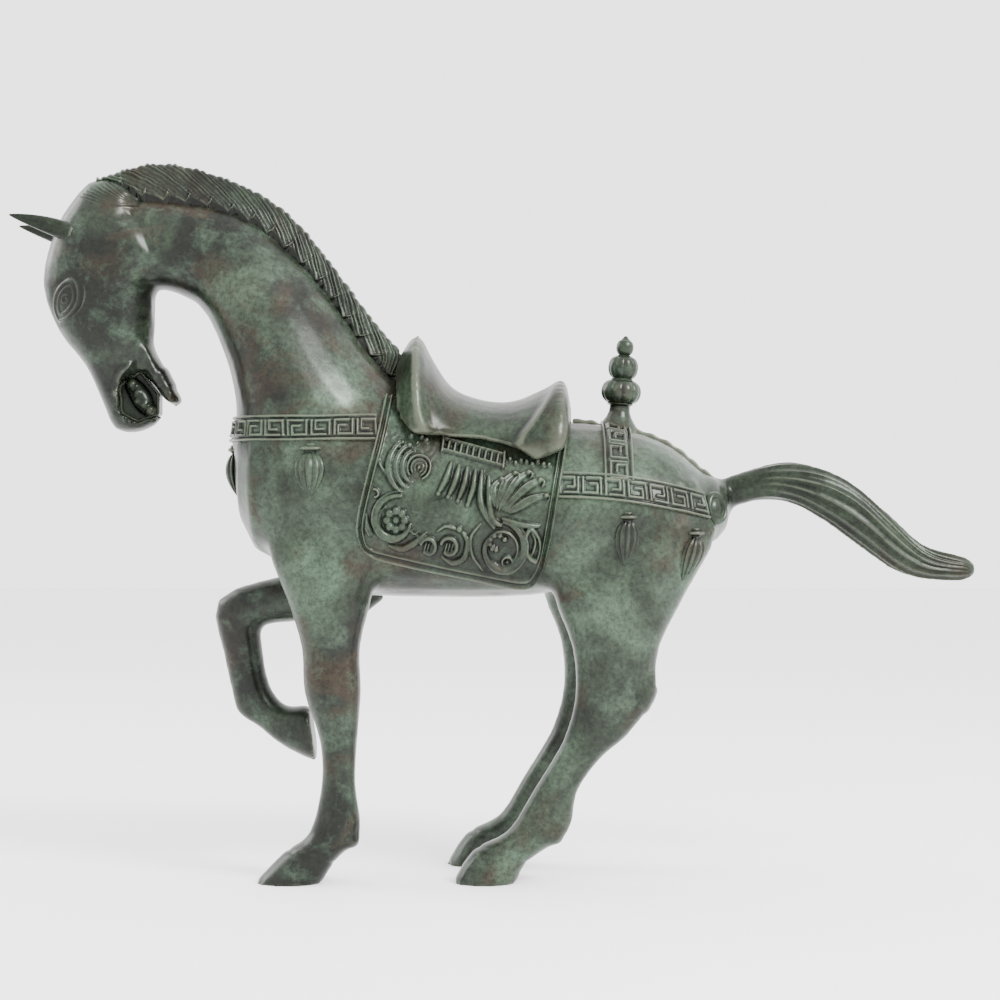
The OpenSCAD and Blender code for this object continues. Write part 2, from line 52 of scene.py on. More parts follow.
CASTINGS = ["torso_casting", "neck_casting", "head_casting", "near_fore_leg", "far_fore_leg",
            "near_hind_leg", "far_hind_leg", "tail_casting"]
LEFT = -1
RIGHT = 1
CLEAR = 120 * MM  # farther out than any point of the body
SKIN_VOXEL = 2.0 * MM
SADDLE_VOXEL = 2.3 * MM
TONGUE_VOXEL = 0.7 * MM
PLATE_DEPTH = 1.6 * MM  # how far a relief's underside lies below the skin


# ---- curves and heights

def curve(points, count=60):
    """A smooth line through a few points."""
    p = np.array([points[0], *points, points[-1]], float)
    t = np.linspace(0, len(points) - 1, count)
    i = np.minimum(t.astype(int), len(points) - 2)
    f = (t - i)[:, None]
    a, b, c, d = p[i], p[i + 1], p[i + 2], p[i + 3]
    return 0.5 * (2 * b + (c - a) * f + (2 * a - 5 * b + 4 * c - d) * f ** 2
                  + (3 * b - a - 3 * c + d) * f ** 3)


def arc(centre, radius, start, end, end_radius=None):
    """Part of a circle, or of a spiral when the end radius differs. Angles are in degrees."""
    a = np.radians(np.linspace(start, end, 60))
    r = np.linspace(radius, radius if end_radius is None else end_radius, 60)
    return np.array(centre) + np.stack([r * np.cos(a), r * np.sin(a)], 1)


def around(centre, radius, angle):
    """The place on a circle at an angle in degrees."""
    a = math.radians(angle)
    return (centre[0] + radius * math.cos(a), centre[1] + radius * math.sin(a))


def full_turn(count):
    """Even angles about a full turn, in radians."""
    return np.linspace(0, 2 * math.pi, count, endpoint=False)


def almond(centre, length, width, angle, start=0, end=360):
    """The outline of an eye: two arcs that meet at points. It begins at the upper point."""
    a = np.radians(np.linspace(start, end, 80))
    along = length / 2 * np.cos(a)
    across = width / 2 * np.sign(np.sin(a)) * np.abs(np.sin(a)) ** 1.4
    c, s = math.cos(math.radians(angle)), math.sin(math.radians(angle))
    return np.array(centre) + np.stack([along * c + across * s, along * s - across * c], 1)


def bell(value, middle, width):
    """A soft peak, one at its middle."""
    return np.exp(-((value - middle) / width) ** 2)


def dome(gap, radius):
    """A round peak, nought from its radius outward."""
    return np.sqrt(np.clip(1 - (gap / radius) ** 2, 0, 1))


def rise(value, start, end):
    """Grows evenly from nought at the start to one at the end, which may be the lower."""
    return np.clip((value - start) / (end - start), 0, 1)


def distances(line):
    """How far each of a line's points is from its start, measured along it."""
    return np.r_[0, np.cumsum(np.linalg.norm(np.diff(line, axis=0), axis=1))]


def near_line(at, line):
    """Distance from each point to a line, and how far along it (0 to 1) the nearest place is."""
    best = np.full(len(at), 1e9)
    share = np.zeros(len(at))
    for k in range(len(line) - 1):
        a, d = line[k], line[k + 1] - line[k]
        t = np.clip(((at - a) @ d) / max(d @ d, 1e-12), 0, 1)
        gap = np.linalg.norm(at - a - t[:, None] * d, axis=1)
        closer = gap < best
        best[closer] = gap[closer]
        share[closer] = (k + t[closer]) / (len(line) - 1)
    return best, share


class Relief:
    """Heights over points in a plane, in millimetres, built up from strokes."""

    def __init__(self, at):
        self.at = np.asarray(at, float)
        self.height = np.zeros(len(self.at))

    def _reach(self, line, radius):
        low, high = line.min(0) - radius, line.max(0) + radius
        return np.flatnonzero(((self.at >= low) & (self.at <= high)).all(1))

    def ridge(self, line, radius, height, taper=0.0):
        """A rounded raised line. Taper thins both its ends."""
        line = np.asarray(line, float)
        near = self._reach(line, radius)
        gap, share = near_line(self.at[near], line)
        size = 1 - taper * np.abs(2 * share - 1) ** 2
        self.height[near] = np.maximum(self.height[near], height * size * dome(gap, radius * size))

    def groove(self, line, radius, depth):
        line = np.asarray(line, float)
        near = self._reach(line, 3 * radius)
        gap, share = near_line(self.at[near], line)
        ends = np.clip(6 * np.minimum(share, 1 - share) + 0.3, 0, 1)
        self.height[near] -= depth * ends * bell(gap, 0, radius)

    def swell(self, line, radius, height):
        """A soft raised area along a line."""
        self.groove(line, radius, -height)

    def boss(self, centre, radius, height):
        gap = np.linalg.norm(self.at - np.array(centre), axis=1)
        self.height = np.maximum(self.height, height * dome(gap, radius))

    def flower(self, centre, radius, petals, height):
        """Round petals about a sunk heart."""
        for k in range(petals):
            self.boss(around(centre, 0.68 * radius, 360 * k / petals), 0.34 * radius, height)
        self.boss(centre, 0.3 * radius, 0.5 * height)


# ---- mesh helpers

@contextmanager
def edited(mesh):
    """A mesh opened for editing, and written back at the end."""
    bm = bmesh.new()
    bm.from_mesh(mesh)
    yield bm
    bm.to_mesh(mesh)
    bm.free()
    mesh.update()


def shown(name, data):
    """A new object in the scene."""
    obj = bpy.data.objects.new(name, data)
    bpy.context.scene.collection.objects.link(obj)
    return obj


def points_of(mesh):
    co = np.zeros(len(mesh.vertices) * 3)
    mesh.vertices.foreach_get("co", co)
    return co.reshape(-1, 3)


def move_points(mesh, co):
    mesh.vertices.foreach_set("co", co.ravel())
    mesh.update()


def edge_pairs(mesh):
    e = np.zeros(len(mesh.edges) * 2, int)
    mesh.edges.foreach_get("vertices", e)
    return e.reshape(-1, 2)


def normals(mesh):
    n = np.zeros(len(mesh.vertices) * 3)
    mesh.vertex_normals.foreach_get("vector", n)
    return n.reshape(-1, 3)


def sideways(mesh, gain, less=0.0):
    """How squarely each point faces left or right, from nought to one."""
    return np.clip(gain * np.abs(normals(mesh)[:, 1]) - less, 0, 1)


def neighbour_mean(values, pairs, count):
    total = np.zeros_like(values)
    for k in range(values.shape[1]):
        total[:, k] = (np.bincount(pairs[:, 0], values[pairs[:, 1], k], len(values))
                       + np.bincount(pairs[:, 1], values[pairs[:, 0], k], len(values)))
    return total / count[:, None]


def smoothed(co, pairs, passes, amount=1.0):
    """Evens a surface out without making it smaller."""
    count = np.maximum(np.bincount(pairs.ravel(), minlength=len(co)), 1)
    for k in range(2 * passes):
        step = (0.5 if k % 2 == 0 else -0.53) * amount
        co = co + step * (neighbour_mean(co, pairs, count) - co)
    return co


def filled_creases(mesh, passes, rounds, amount):
    """Rounds the inner corners where limbs meet the body, and leaves the outer form alone."""
    pairs = edge_pairs(mesh)
    co = points_of(mesh)
    count = np.maximum(np.bincount(pairs.ravel(), minlength=len(co)), 1)
    for _ in range(rounds):
        soft = co.copy()
        for _ in range(passes):
            soft += 0.5 * (neighbour_mean(soft, pairs, count) - soft)
        move_points(mesh, co)
        n = normals(mesh)
        out = amount * np.maximum(((soft - co) * n).sum(1), 0)
        co = co + out[:, None] * n
    co = smoothed(co, pairs, 4, amount[:, None])
    move_points(mesh, co)


def mesh_from(name, co, faces):
    mesh = bpy.data.meshes.new(name)
    mesh.from_pydata([tuple(v) for v in co], [], [tuple(f) for f in faces])
    mesh.validate()
    mesh.update()
    return mesh


def joined(name, nodes, extra=()):
    """One mesh from the meshes of several CAD nodes, which stay as they are."""
    co, faces, base = [], [], 0
    for mesh in [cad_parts[n].data for n in nodes] + list(extra):
        co.extend(points_of(mesh))
        faces.extend([tuple(v + base for v in p.vertices) for p in mesh.polygons])
        base += len(mesh.vertices)
    return mesh_from(name, co, faces)


def evaluated(mesh, kind, **settings):
    """The mesh after one modifier."""
    holder = shown("work", mesh)
    modifier = holder.modifiers.new("m", kind)
    for key, value in settings.items():
        setattr(modifier, key, value)
    result = bpy.data.meshes.new_from_object(
        holder.evaluated_get(bpy.context.evaluated_depsgraph_get()))
    bpy.data.objects.remove(holder)
    return result


def voxels(mesh, size):
    """The mesh rebuilt as one even surface, with everything that overlaps joined."""
    return evaluated(mesh, "REMESH", mode="VOXEL", voxel_size=size, adaptivity=0.0)


def finer(mesh, kind="SIMPLE"):
    """Each face split in four."""
    return evaluated(mesh, "SUBSURF", subdivision_type=kind, levels=1)


def connected(start):
    """All the points that a point is joined to, and itself."""
    group, todo = {start}, [start]
    while todo:
        for e in todo.pop().link_edges:
            for v in e.verts:
                if v not in group:
                    group.add(v)
                    todo.append(v)
    return group


def outer_shell(mesh):
    """Only the connected shell with the most points, which is the outermost one."""
    with edited(mesh) as bm:
        left, best = set(bm.verts), set()
        while left:
            group = connected(next(iter(left)))
            left -= group
            best = max(best, group, key=len)
        bmesh.ops.delete(bm, geom=[v for v in bm.verts if v not in best], context="VERTS")
    return mesh


def displaced(mesh, height_mm):
    move_points(mesh, points_of(mesh) + normals(mesh) * (height_mm * MM)[:, None])


def tree_of(mesh):
    return BVHTree.FromPolygons([v.co for v in mesh.vertices],
                                [tuple(p.vertices) for p in mesh.polygons])


def mark_relief(mesh, passes=3, scale_mm=0.25):
    """Stores how sunk (+) or proud (-) each point lies, for the patina."""
    pairs = edge_pairs(mesh)
    co = points_of(mesh)
    count = np.maximum(np.bincount(pairs.ravel(), minlength=len(co)), 1)
    soft = co
    for _ in range(passes):
        soft = soft + 0.6 * (neighbour_mean(soft, pairs, count) - soft)
    sunk = ((soft - co) * normals(mesh)).sum(1) / (scale_mm * MM)
    for _ in range(3):
        sunk = 0.5 * sunk + 0.5 * neighbour_mean(sunk[:, None], pairs, count)[:, 0]
    layer = mesh.attributes.new("sunk", "FLOAT", "POINT")
    layer.data.foreach_set("value", np.clip(sunk, -1, 1).astype(np.float32))


def closed(mesh):
    """Closes a casting where it was cut from its neighbours, with sharp rims."""
    with edited(mesh) as bm:
        rim = [e for e in bm.edges if e.is_boundary]
        for e in rim:
            e.smooth = False
        bmesh.ops.holes_fill(bm, edges=rim, sides=0)


def piece(name, mesh, material, nodes, passes=3, scale_mm=0.25):
    """A finished piece of the model, which stands for some of the CAD's nodes."""
    mark_relief(mesh, passes, scale_mm)
    closed(mesh)
    mesh.polygons.foreach_set("use_smooth", [True] * len(mesh.polygons))
    mesh.materials.clear()
    mesh.materials.append(material)
    obj = shown(name, mesh)
    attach(obj, "root")
    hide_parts(*nodes)
    return obj


def large_cells(index):
    """The cells of a plate's hidden underside. Those at the border keep every border point."""
    rows, columns = index.shape
    row_steps = [*range(0, rows - 1, 6), rows - 1]
    column_steps = [*range(0, columns - 1, 6), columns - 1]
    cells = []
    for i, k in zip(row_steps, row_steps[1:]):
        for j, m in zip(column_steps, column_steps[1:]):
            lower = index[i, j:m] if i == 0 else index[i, j:j + 1]
            right = index[i:k, m] if m == columns - 1 else index[i:i + 1, m]
            upper = index[k, m:j:-1] if k == rows - 1 else index[k, m:m + 1]
            left = index[k:i:-1, j] if j == 0 else index[k:k + 1, j]
            cells.append(np.concatenate([lower, right, upper, left]))
    return cells


def slab_mesh(name, top, bottom, rows, columns):
    """A closed plate from two grids of points, given row by row."""
    index = np.arange(rows * columns).reshape(rows, columns)
    a, b, c, d = index[:-1, :-1], index[1:, :-1], index[1:, 1:], index[:-1, 1:]
    upper = np.stack([a, b, c, d], -1).reshape(-1, 4)
    rim = np.concatenate([index[0], index[1:, -1], index[-1, -2::-1], index[-2:0:-1, 0]])
    after = np.roll(rim, -1)
    sides = np.stack([rim, after, after + rows * columns, rim + rows * columns], 1)
    mesh = mesh_from(name, np.concatenate([top, bottom]),
                     [*upper, *sides, *large_cells(index + rows * columns)])
    with edited(mesh) as bm:
        bmesh.ops.delete(bm, geom=[v for v in bm.verts if not v.link_faces], context="VERTS")
        bmesh.ops.recalc_face_normals(bm, faces=bm.faces)
    return mesh


def tube_mesh(name, rings):
    """A closed skin through rings of points, with a point at each end."""
    rings = np.array(rings)
    rows, columns = rings.shape[:2]
    index = np.arange(rows * columns).reshape(rows, columns)
    after = np.roll(index, -1, 1)
    sides = np.stack([index[:-1], after[:-1], after[1:], index[1:]], -1).reshape(-1, 4)
    first, last = rows * columns, rows * columns + 1
    ends = [(first, after[0, j], index[0, j]) for j in range(columns)]
    ends += [(last, index[-1, j], after[-1, j]) for j in range(columns)]
    co = np.concatenate([rings.reshape(-1, 3), rings[:1].mean(1), rings[-1:].mean(1)])
    mesh = mesh_from(name, co, [*map(tuple, sides), *ends])
    with edited(mesh) as bm:
        bmesh.ops.recalc_face_normals(bm, faces=bm.faces)
    return mesh


# ---- patina

def patina(name, dark, green, mint, brown, wear, gloss, sheen=0.2, painted_light_behind=0.0):
    """Waxed bronze: mottled greens and browns, dark in the hollows, rubbed on the ridges.

    Wear is the rubbed colour. The last number makes the colour paler toward the tail: painted light, for the
    light that falls on the rump.
    """
    material = bpy.data.materials.new(name)
    material.use_nodes = True
    tree = material.node_tree

    def feed(target, inputs):
        """Each input gets a value or another node's output."""
        for key, value in inputs.items():
            if isinstance(value, bpy.types.NodeSocket):
                tree.links.new(value, target.inputs[key])
            else:
                target.inputs[key].default_value = value

    def node(kind, inputs, **settings):
        made = tree.nodes.new(kind)
        for key, value in settings.items():
            setattr(made, key, value)
        feed(made, inputs)
        return made

    place = node("ShaderNodeTexCoord", {}).outputs["Object"]

    def noise(scale, detail, roughness, distortion=0.0):
        made = node("ShaderNodeTexNoise", {"Vector": place, "Scale": scale, "Detail": detail,
                                           "Roughness": roughness, "Distortion": distortion})
        return made.outputs["Fac"]

    def ramp(factor, stops):
        made = node("ShaderNodeValToRGB", {"Fac": factor})
        elements = made.color_ramp.elements
        while len(elements) < len(stops):
            elements.new(0.5)
        for element, (position, colour) in zip(elements, stops):
            element.position = position
            element.color = (*colour, 1)
        return made.outputs["Color"]

    def grey(value):
        return (value, value, value)

    def mix(factor, first, second, blend="MIX"):
        first, second = (c if isinstance(c, bpy.types.NodeSocket) else (*c, 1) for c in (first, second))
        return node("ShaderNodeMix", {0: factor, 6: first, 7: second}, data_type="RGBA",
                    blend_type=blend).outputs[2]

    # Painted light: the mottling shifts toward the pale mint along X, so the rump comes out lighter than the
    # shoulder
    behind = node("ShaderNodeSeparateXYZ", {0: place}).outputs["X"]
    mottle_and_painted_light = node("ShaderNodeMath", {0: behind, 1: painted_light_behind, 2: noise(16, 6, 0.62, 0.4)},
                 operation="MULTIPLY_ADD").outputs[0]
    clouds = ramp(mottle_and_painted_light, [(0.37, dark), (0.50, green), (0.64, mint)])
    rust = ramp(noise(23, 5, 0.6, 0.8), [(0.52, grey(0)), (0.66, grey(0.85))])
    base = mix(rust, clouds, brown)
    bloom = ramp(noise(60, 8, 0.7, 0.2), [(0.50, grey(0)), (0.68, grey(0.55))])
    base = mix(bloom, base, mint)
    specks = ramp(noise(420, 4, 0.75), [(0.36, grey(0.45)), (0.50, grey(1)), (0.66, grey(1.45))])
    base = mix(0.8, base, specks, "MULTIPLY")

    # On the mane's underside this value is set high as painted shade, by paint_shade_under_tufts
    sunk = node("ShaderNodeAttribute", {}, attribute_name="sunk").outputs["Fac"]
    hollow = ramp(sunk, [(0.08, grey(0)), (0.70, grey(0.92))])
    base = mix(hollow, base, tuple(0.30 * c for c in dark))
    proud = node("ShaderNodeMath", {0: sunk, 1: -1.0}, operation="MULTIPLY").outputs[0]
    rubbed = ramp(proud, [(0.25, grey(0)), (1.0, grey(0.4))])
    base = mix(rubbed, base, wear)

    rough = node("ShaderNodeMapRange", {"Value": noise(48, 5, 0.7), "To Min": gloss - 0.09,
                                        "To Max": gloss + 0.16})
    bump = node("ShaderNodeBump", {"Height": noise(260, 6, 0.65), "Strength": 0.16, "Distance": 0.0006})
    feed(tree.nodes["Principled BSDF"], {
        "Base Color": base, "Roughness": rough.outputs["Result"], "Normal": bump.outputs["Normal"],
        "Metallic": 0.2, "Specular IOR Level": sheen, "Coat Weight": 0.06, "Coat Roughness": 0.2})
    return material


def raw_bronze():
    """Unpatinated metal on the hidden pins and plugs."""
    return patina("raw_bronze", (0.09, 0.06, 0.03), (0.16, 0.11, 0.05), (0.2, 0.15, 0.08),
                  (0.08, 0.04, 0.02), (0.3, 0.22, 0.12), 0.42)


# The body's patina grows paler toward the tail: painted light on the rump
BODY = patina("body_patina", (0.005, 0.0062, 0.0042), (0.0175, 0.0248, 0.0160), (0.045, 0.071, 0.047),
              (0.021, 0.0135, 0.0082), (0.12, 0.13, 0.095), 0.28, painted_light_behind=0.45)
RELIEF = patina("relief_patina", (0.005, 0.0065, 0.004), (0.016, 0.0235, 0.0145), (0.038, 0.062, 0.040),
                (0.018, 0.0115, 0.0075), (0.14, 0.15, 0.11), 0.28)
SADDLE = patina("saddle_patina", (0.005, 0.0062, 0.004), (0.013, 0.0185, 0.0115), (0.030, 0.048, 0.030),
                (0.017, 0.011, 0.007), (0.12, 0.13, 0.095), 0.27, sheen=0.15)
MANE = patina("mane_patina", (0.005, 0.0062, 0.0038), (0.013, 0.0185, 0.0115), (0.028, 0.042, 0.026),
              (0.018, 0.012, 0.0075), (0.12, 0.13, 0.095), 0.29)
TAIL = patina("tail_patina", (0.004, 0.0052, 0.0032), (0.0095, 0.0138, 0.0082), (0.021, 0.031, 0.019),
              (0.013, 0.0095, 0.006), (0.11, 0.12, 0.09), 0.27, sheen=0.12)
# Painted shade: the tongue's patina is several times darker than the body's, for the shade inside the open
# mouth
SHADED_MOUTH = patina("mouth_patina_painted_shade", (0.002, 0.0028, 0.0018), (0.006, 0.0095, 0.0055), (0.014, 0.022, 0.013),
               (0.008, 0.0055, 0.0035), (0.045, 0.05, 0.036), 0.26, sheen=0.12)


# ---- the skin of the castings

TORSO_LOW, TORSO_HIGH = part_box("torso_casting")
NECK_LOW, NECK_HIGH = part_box("neck_casting")
HEAD_LOW, HEAD_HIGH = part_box("head_casting")
TAIL_LOW, TAIL_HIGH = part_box("tail_casting")
FINIAL_LOW, FINIAL_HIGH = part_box("finial")
SADDLE_LOW, SADDLE_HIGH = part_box("saddle")
BAND_LOW, BAND_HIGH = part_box("breast_band")

# The castings meet on these planes
LIP = 8 * MM
NECK_SEAM = NECK_LOW.z + LIP
SADDLE_SEAM = NECK_HIGH.x
HEAD_SEAM = NECK_LOW.x
LEG_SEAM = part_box("near_fore_leg")[1].z - LIP
DOCK = TORSO_HIGH.x - 2.5 * MM
ELBOW_SEAM = LEG_SEAM - 23 * MM
KNEE_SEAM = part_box("joint_pins")[0].x - 2 * MM
RAISED_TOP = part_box("far_fore_leg")[1].z
LEG_GAP = (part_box("near_fore_leg")[1].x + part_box("near_hind_leg")[0].x) / 2
JAW_TOP = HEAD_LOW.z + 50 * MM
FETLOCK_TOP = 45 * MM


def stopper():
    """Closes the stud's hole in the croup, so that the hollow inside stays shut off."""
    hole = Vector(((FINIAL_LOW.x + FINIAL_HIGH.x) / 2 - 1 * MM, 0, FINIAL_LOW.z + 6 * MM))
    mesh = bpy.data.meshes.new("stopper")
    with edited(mesh) as bm:
        bmesh.ops.create_icosphere(bm, subdivisions=2, radius=7 * MM)
        bmesh.ops.translate(bm, vec=hole, verts=bm.verts)
    return mesh


def at_head(behind, up):
    """A place in the side view: millimetres behind the brow and above the muzzle."""
    return (HEAD_LOW.x / MM + behind, HEAD_LOW.z / MM + up)


def at_body(behind, up):
    """A place in the side view: millimetres behind the chest and above the ground."""
    return (TORSO_LOW.x / MM + behind, up)


def head_line(*places):
    return curve([at_head(*place) for place in places])


def body_line(*places):
    return curve([at_body(*place) for place in places])


def side_view(co):
    return co[:, [0, 2]] / MM


def face_forms(r):
    """The jowl, the cheekbone, the hollow before them and the crease behind the jaw."""
    r.groove(head_line((47, 118), (55, 110), (58.5, 101), (62, 94.5)), 1.9, 1.5)
    r.swell(head_line((43, 113), (50, 104), (54, 92)), 4, 0.9)
    r.swell(head_line((45, 106), (48, 94), (50, 78)), 10, 3.2)
    r.groove(head_line((39, 98), (36, 80), (40, 60)), 6, 1.2)
    r.groove(head_line((28, 52), (36, 36), (42, 22)), 5, 0.8)
    r.swell(head_line((17, 84), (24, 78), (27, 68)), 3, 0.5)


def body_forms(mesh):
    """Muscles, joints and cheeks, in strokes seen from the side."""
    co = points_of(mesh)
    flank = sideways(mesh, 2.2, 0.3)
    body = Relief(side_view(co))
    face_forms(body)
    body.groove(body_line((32, 205), (44, 186), (50, 165)), 5, 0.7)
    body.swell(body_line((22, 205), (30, 185), (38, 165)), 12, 0.9)
    body.swell(body_line((202, 215), (214, 190), (220, 168)), 20, 1.0)
    body.groove(body_line((172, 165), (166, 175), (164, 190)), 5, 1.0)
    body.groove(body_line((78, 172), (75, 160), (71, 148)), 3, 1.2)
    body.groove(body_line((230, 118), (222, 108), (214, 98)), 3, 0.5)
    shanks = Relief(side_view(co))
    shanks.swell(body_line((56, 106), (56, 94)), 7, 0.9)
    shanks.groove(body_line((64, 80), (65, 60), (65, 42)), 2.2, 0.6)
    shanks.groove(body_line((192, 72), (182, 54), (174, 38)), 2.2, 0.6)
    standing = (co[:, 1] < 0) | (co[:, 0] > LEG_GAP)
    knobs = Relief(side_view(co))
    knobs.swell(body_line((225, 104), (221, 97), (217, 91)), 5, 2.6)
    knobs.swell(head_line((64, 34), (69, 29), (72, 24)), 4, 1.8)
    displaced(mesh, flank * (body.height + np.where(standing, shanks.height, 0)) + knobs.height)


def hooves(mesh):
    """The coronet's fine line and the pointed ergot of each standing foot, with the soles level."""
    x, y, z = (points_of(mesh) / MM).T
    height = np.zeros(len(x))
    for leg in ("near_fore_leg", "near_hind_leg", "far_hind_leg"):
        low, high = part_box(leg)
        behind = x - low.x / MM
        foot = np.abs(y - (low.y + high.y) / 2 / MM) < 20
        hoof = foot & (z < 30) & (np.abs(behind - 22) < 26)
        coronet = 20 - 0.30 * (behind - 10)
        height -= np.where(hoof, 0.4 * bell(z, coronet, 1.2), 0)
        ergot = 53 if "fore" in leg else 57
        height += np.where(foot, 2.2 * np.exp(-((behind - ergot) ** 2 + (z - 21) ** 2) / 14), 0)
    displaced(mesh, height)
    co = points_of(mesh)
    co[:, 2] = np.maximum(co[:, 2], 0)
    move_points(mesh, co)


def plugs_inside(depth):
    """The core plugs drawn in: the skull's toward the middle, the belly's upward."""
    mesh = joined("core_plugs", ["core_plugs"])
    co = points_of(mesh)
    skull = co[:, 0] < HEAD_HIGH.x
    co[:, 1] -= np.where(skull, np.sign(co[:, 1]) * depth, 0)
    co[:, 2] += np.where(skull, 0, depth)
    move_points(mesh, co)
    return mesh


def build_skin():
    """One smooth skin about all the castings, with the animal's forms on it."""
    mesh = joined("skin", CASTINGS + ["joint_pins"], [stopper(), plugs_inside(0.8 * MM)])
    mesh = outer_shell(voxels(mesh, SKIN_VOXEL))
    co = points_of(mesh)
    muzzle = (co[:, 0] < HEAD_HIGH.x + 5 * MM) & (co[:, 2] < JAW_TOP)
    amount = np.where(muzzle, 0.85, np.where(co[:, 2] < FETLOCK_TOP, 0.6, 1.0))
    co = smoothed(co, edge_pairs(mesh), 15, amount[:, None])
    move_points(mesh, co)
    # The creases are filled behind the head, a little at the throat and not at all on the legs
    head = rise(co[:, 0], HEAD_SEAM - 6 * MM, HEAD_SEAM + 8 * MM)
    throat = rise(co[:, 2], NECK_SEAM + 60 * MM, NECK_SEAM + 80 * MM)
    legs = rise(co[:, 2], 75 * MM, 120 * MM)
    legs[(co[:, 1] > 12 * MM) & (co[:, 0] < LEG_GAP) & (co[:, 2] < RAISED_TOP - 12 * MM)] = 0
    filled_creases(mesh, 10, 7, np.maximum(head, 0.3 * throat) * legs)
    body_forms(mesh)
    mesh = finer(mesh, "CATMULL_CLARK")
    hooves(mesh)
    return mesh


def cut(mesh, planes):
    """New edges where the planes cross a mesh."""
    with edited(mesh) as bm:
        for point, normal in planes:
            bmesh.ops.bisect_plane(bm, geom=[*bm.verts, *bm.edges, *bm.faces], dist=0.02 * MM,
                                   plane_co=point, plane_no=normal)


def casting_of(c):
    """The name of the casting that a place on the skin belongs to."""
    raised = c.y > 0 and c.x < KNEE_SEAM and c.z < RAISED_TOP
    if c.x > DOCK and c.z > TAIL_LOW.z:
        return "tail_casting"
    if c.z < LEG_SEAM and c.x > LEG_GAP:
        return "near_hind_leg" if c.y < 0 else "far_hind_leg"
    if c.z < LEG_SEAM and c.y < 0:
        return "near_fore_leg"
    if raised or c.z < ELBOW_SEAM:
        return "far_fore_leg"
    if c.x < HEAD_SEAM or (c.x < HEAD_HIGH.x + 3 * MM and c.z < JAW_TOP and c.z > NECK_SEAM - 5 * MM):
        return "head_casting"
    if c.z > NECK_SEAM and c.x < SADDLE_SEAM:
        return "neck_casting"
    return "torso_casting"


def part_of(skin, name):
    """One casting's share of the skin, still open at its seams."""
    bm = bmesh.new()
    bm.from_mesh(skin)
    bmesh.ops.delete(bm, geom=[f for f in bm.faces if casting_of(f.calc_center_median()) != name],
                     context="FACES")
    mesh = bpy.data.meshes.new(name)
    bm.to_mesh(mesh)
    bm.free()
    mesh.update()
    return mesh


def face_details(mesh):
    """Eyes, lips, nostrils and the strokes of the forelock."""
    co = points_of(mesh)
    flank = sideways(mesh, 2.5, 0.5)
    r = Relief(side_view(co))
    eye = at_head(15.5, 70)
    lean = 66
    r.ridge(almond(eye, 23, 13, lean), 0.75, 0.6)
    r.ridge(almond(eye, 16, 8, lean), 0.6, 0.5)
    r.ridge(arc(eye, 2.6, 60, 430, 1.0), 0.5, 0.5)
    r.ridge(almond(at_head(18, 71), 24, 16, lean, 35, 150), 0.7, 0.6, 0.7)
    r.groove(almond(eye, 27, 16.5, lean), 1.4, 0.4)
    r.swell(head_line((50, 37), (43.5, 30), (41.5, 22), (44, 14)), 1.7, 1.5)
    r.groove(head_line((46, 38), (39.5, 30), (37.5, 21)), 2.0, 0.6)
    r.groove(head_line((49, 4), (55, 7), (62, 6)), 0.9, 0.8)
    r.groove(arc(at_head(48, 6.5), 1.8, 40, 260), 0.9, 1.2)
    locks = Relief(r.at)
    for k in range(8):
        start, end = at_head(22 + 2.1 * k, 126 + 1.2 * k), at_head(53 + 0.25 * k, 121 + 0.5 * k)
        sag = at_head(37.5 + 1.2 * k, 121 + 0.85 * k)
        locks.groove(curve([start, sag, end]), 0.5, 0.7)
    displaced(mesh, flank * r.height + sideways(mesh, 4) * locks.height)


def tail_flutes(mesh):
    """Long ridges that follow the sweep of the tail and meet at its tip."""
    co = points_of(mesh)
    x = co[:, 0]
    steps = np.linspace(x.min(), x.max(), 60)
    middle, tall = [], []
    for s in steps:
        here = co[np.abs(x - s) < 3.5 * MM]
        middle.append((here[:, 2].max() + here[:, 2].min()) / 2)
        tall.append((here[:, 2].max() - here[:, 2].min()) / 2)
    up = (co[:, 2] - np.interp(x, steps, middle)) / np.interp(x, steps, tall)
    side = co[:, 1] / TAIL_HIGH.y
    angle = np.arctan2(up, np.abs(side) + 1e-6)
    along = (x - steps[0]) / (steps[-1] - steps[0])
    phase = angle * 7.0 / math.pi + 0.9 * along + 0.25 * np.sin(9 * along)
    flute = np.abs(np.sin(math.pi * phase))
    strength = np.clip((along - 0.10) * 5, 0, 1) * np.clip((1.0 - along) * 7, 0.15, 1)
    displaced(mesh, -1.1 * strength * flute + 0.3 * strength)


def build_castings(skin):
    """The skin cut at the castings' seams, with the head's and the tail's own details."""
    cut(skin, [((0, 0, z), (0, 0, 1)) for z in (LEG_SEAM, NECK_SEAM, ELBOW_SEAM)])
    cut(skin, [((x, 0, 0), (1, 0, 0)) for x in (SADDLE_SEAM, HEAD_SEAM, DOCK, KNEE_SEAM)])
    for name in CASTINGS:
        mesh = part_of(skin, name)
        material, slot = BODY, "body_bronze"
        scale = 0.30
        if name == "head_casting":
            mesh = finer(mesh)
            face_details(mesh)
            scale = 0.2
        if name == "tail_casting":
            mesh = finer(mesh)
            tail_flutes(mesh)
            material, slot = TAIL, "tail_bronze"
            scale = 0.12
        piece(name.replace("_casting", "") + "_skin", mesh, material, [name], 4, scale)


# ---- things that lie on the skin

def surface(tree, origin, direction):
    """Where a ray meets a surface, and the normal there."""
    place, normal, _, _ = tree.ray_cast(Vector(origin), Vector(direction))
    return (None, None) if place is None else (np.array(place), np.array(normal))


def beside(tree, x, z, side):
    """The place on the skin's left or right flank at a point of the side view, and the normal there."""
    return surface(tree, (x, side * CLEAR, z), (0, -side, 0))


def level(normal):
    """A normal turned level."""
    flat = np.array((normal[0], normal[1], 0))
    return flat / np.linalg.norm(flat)


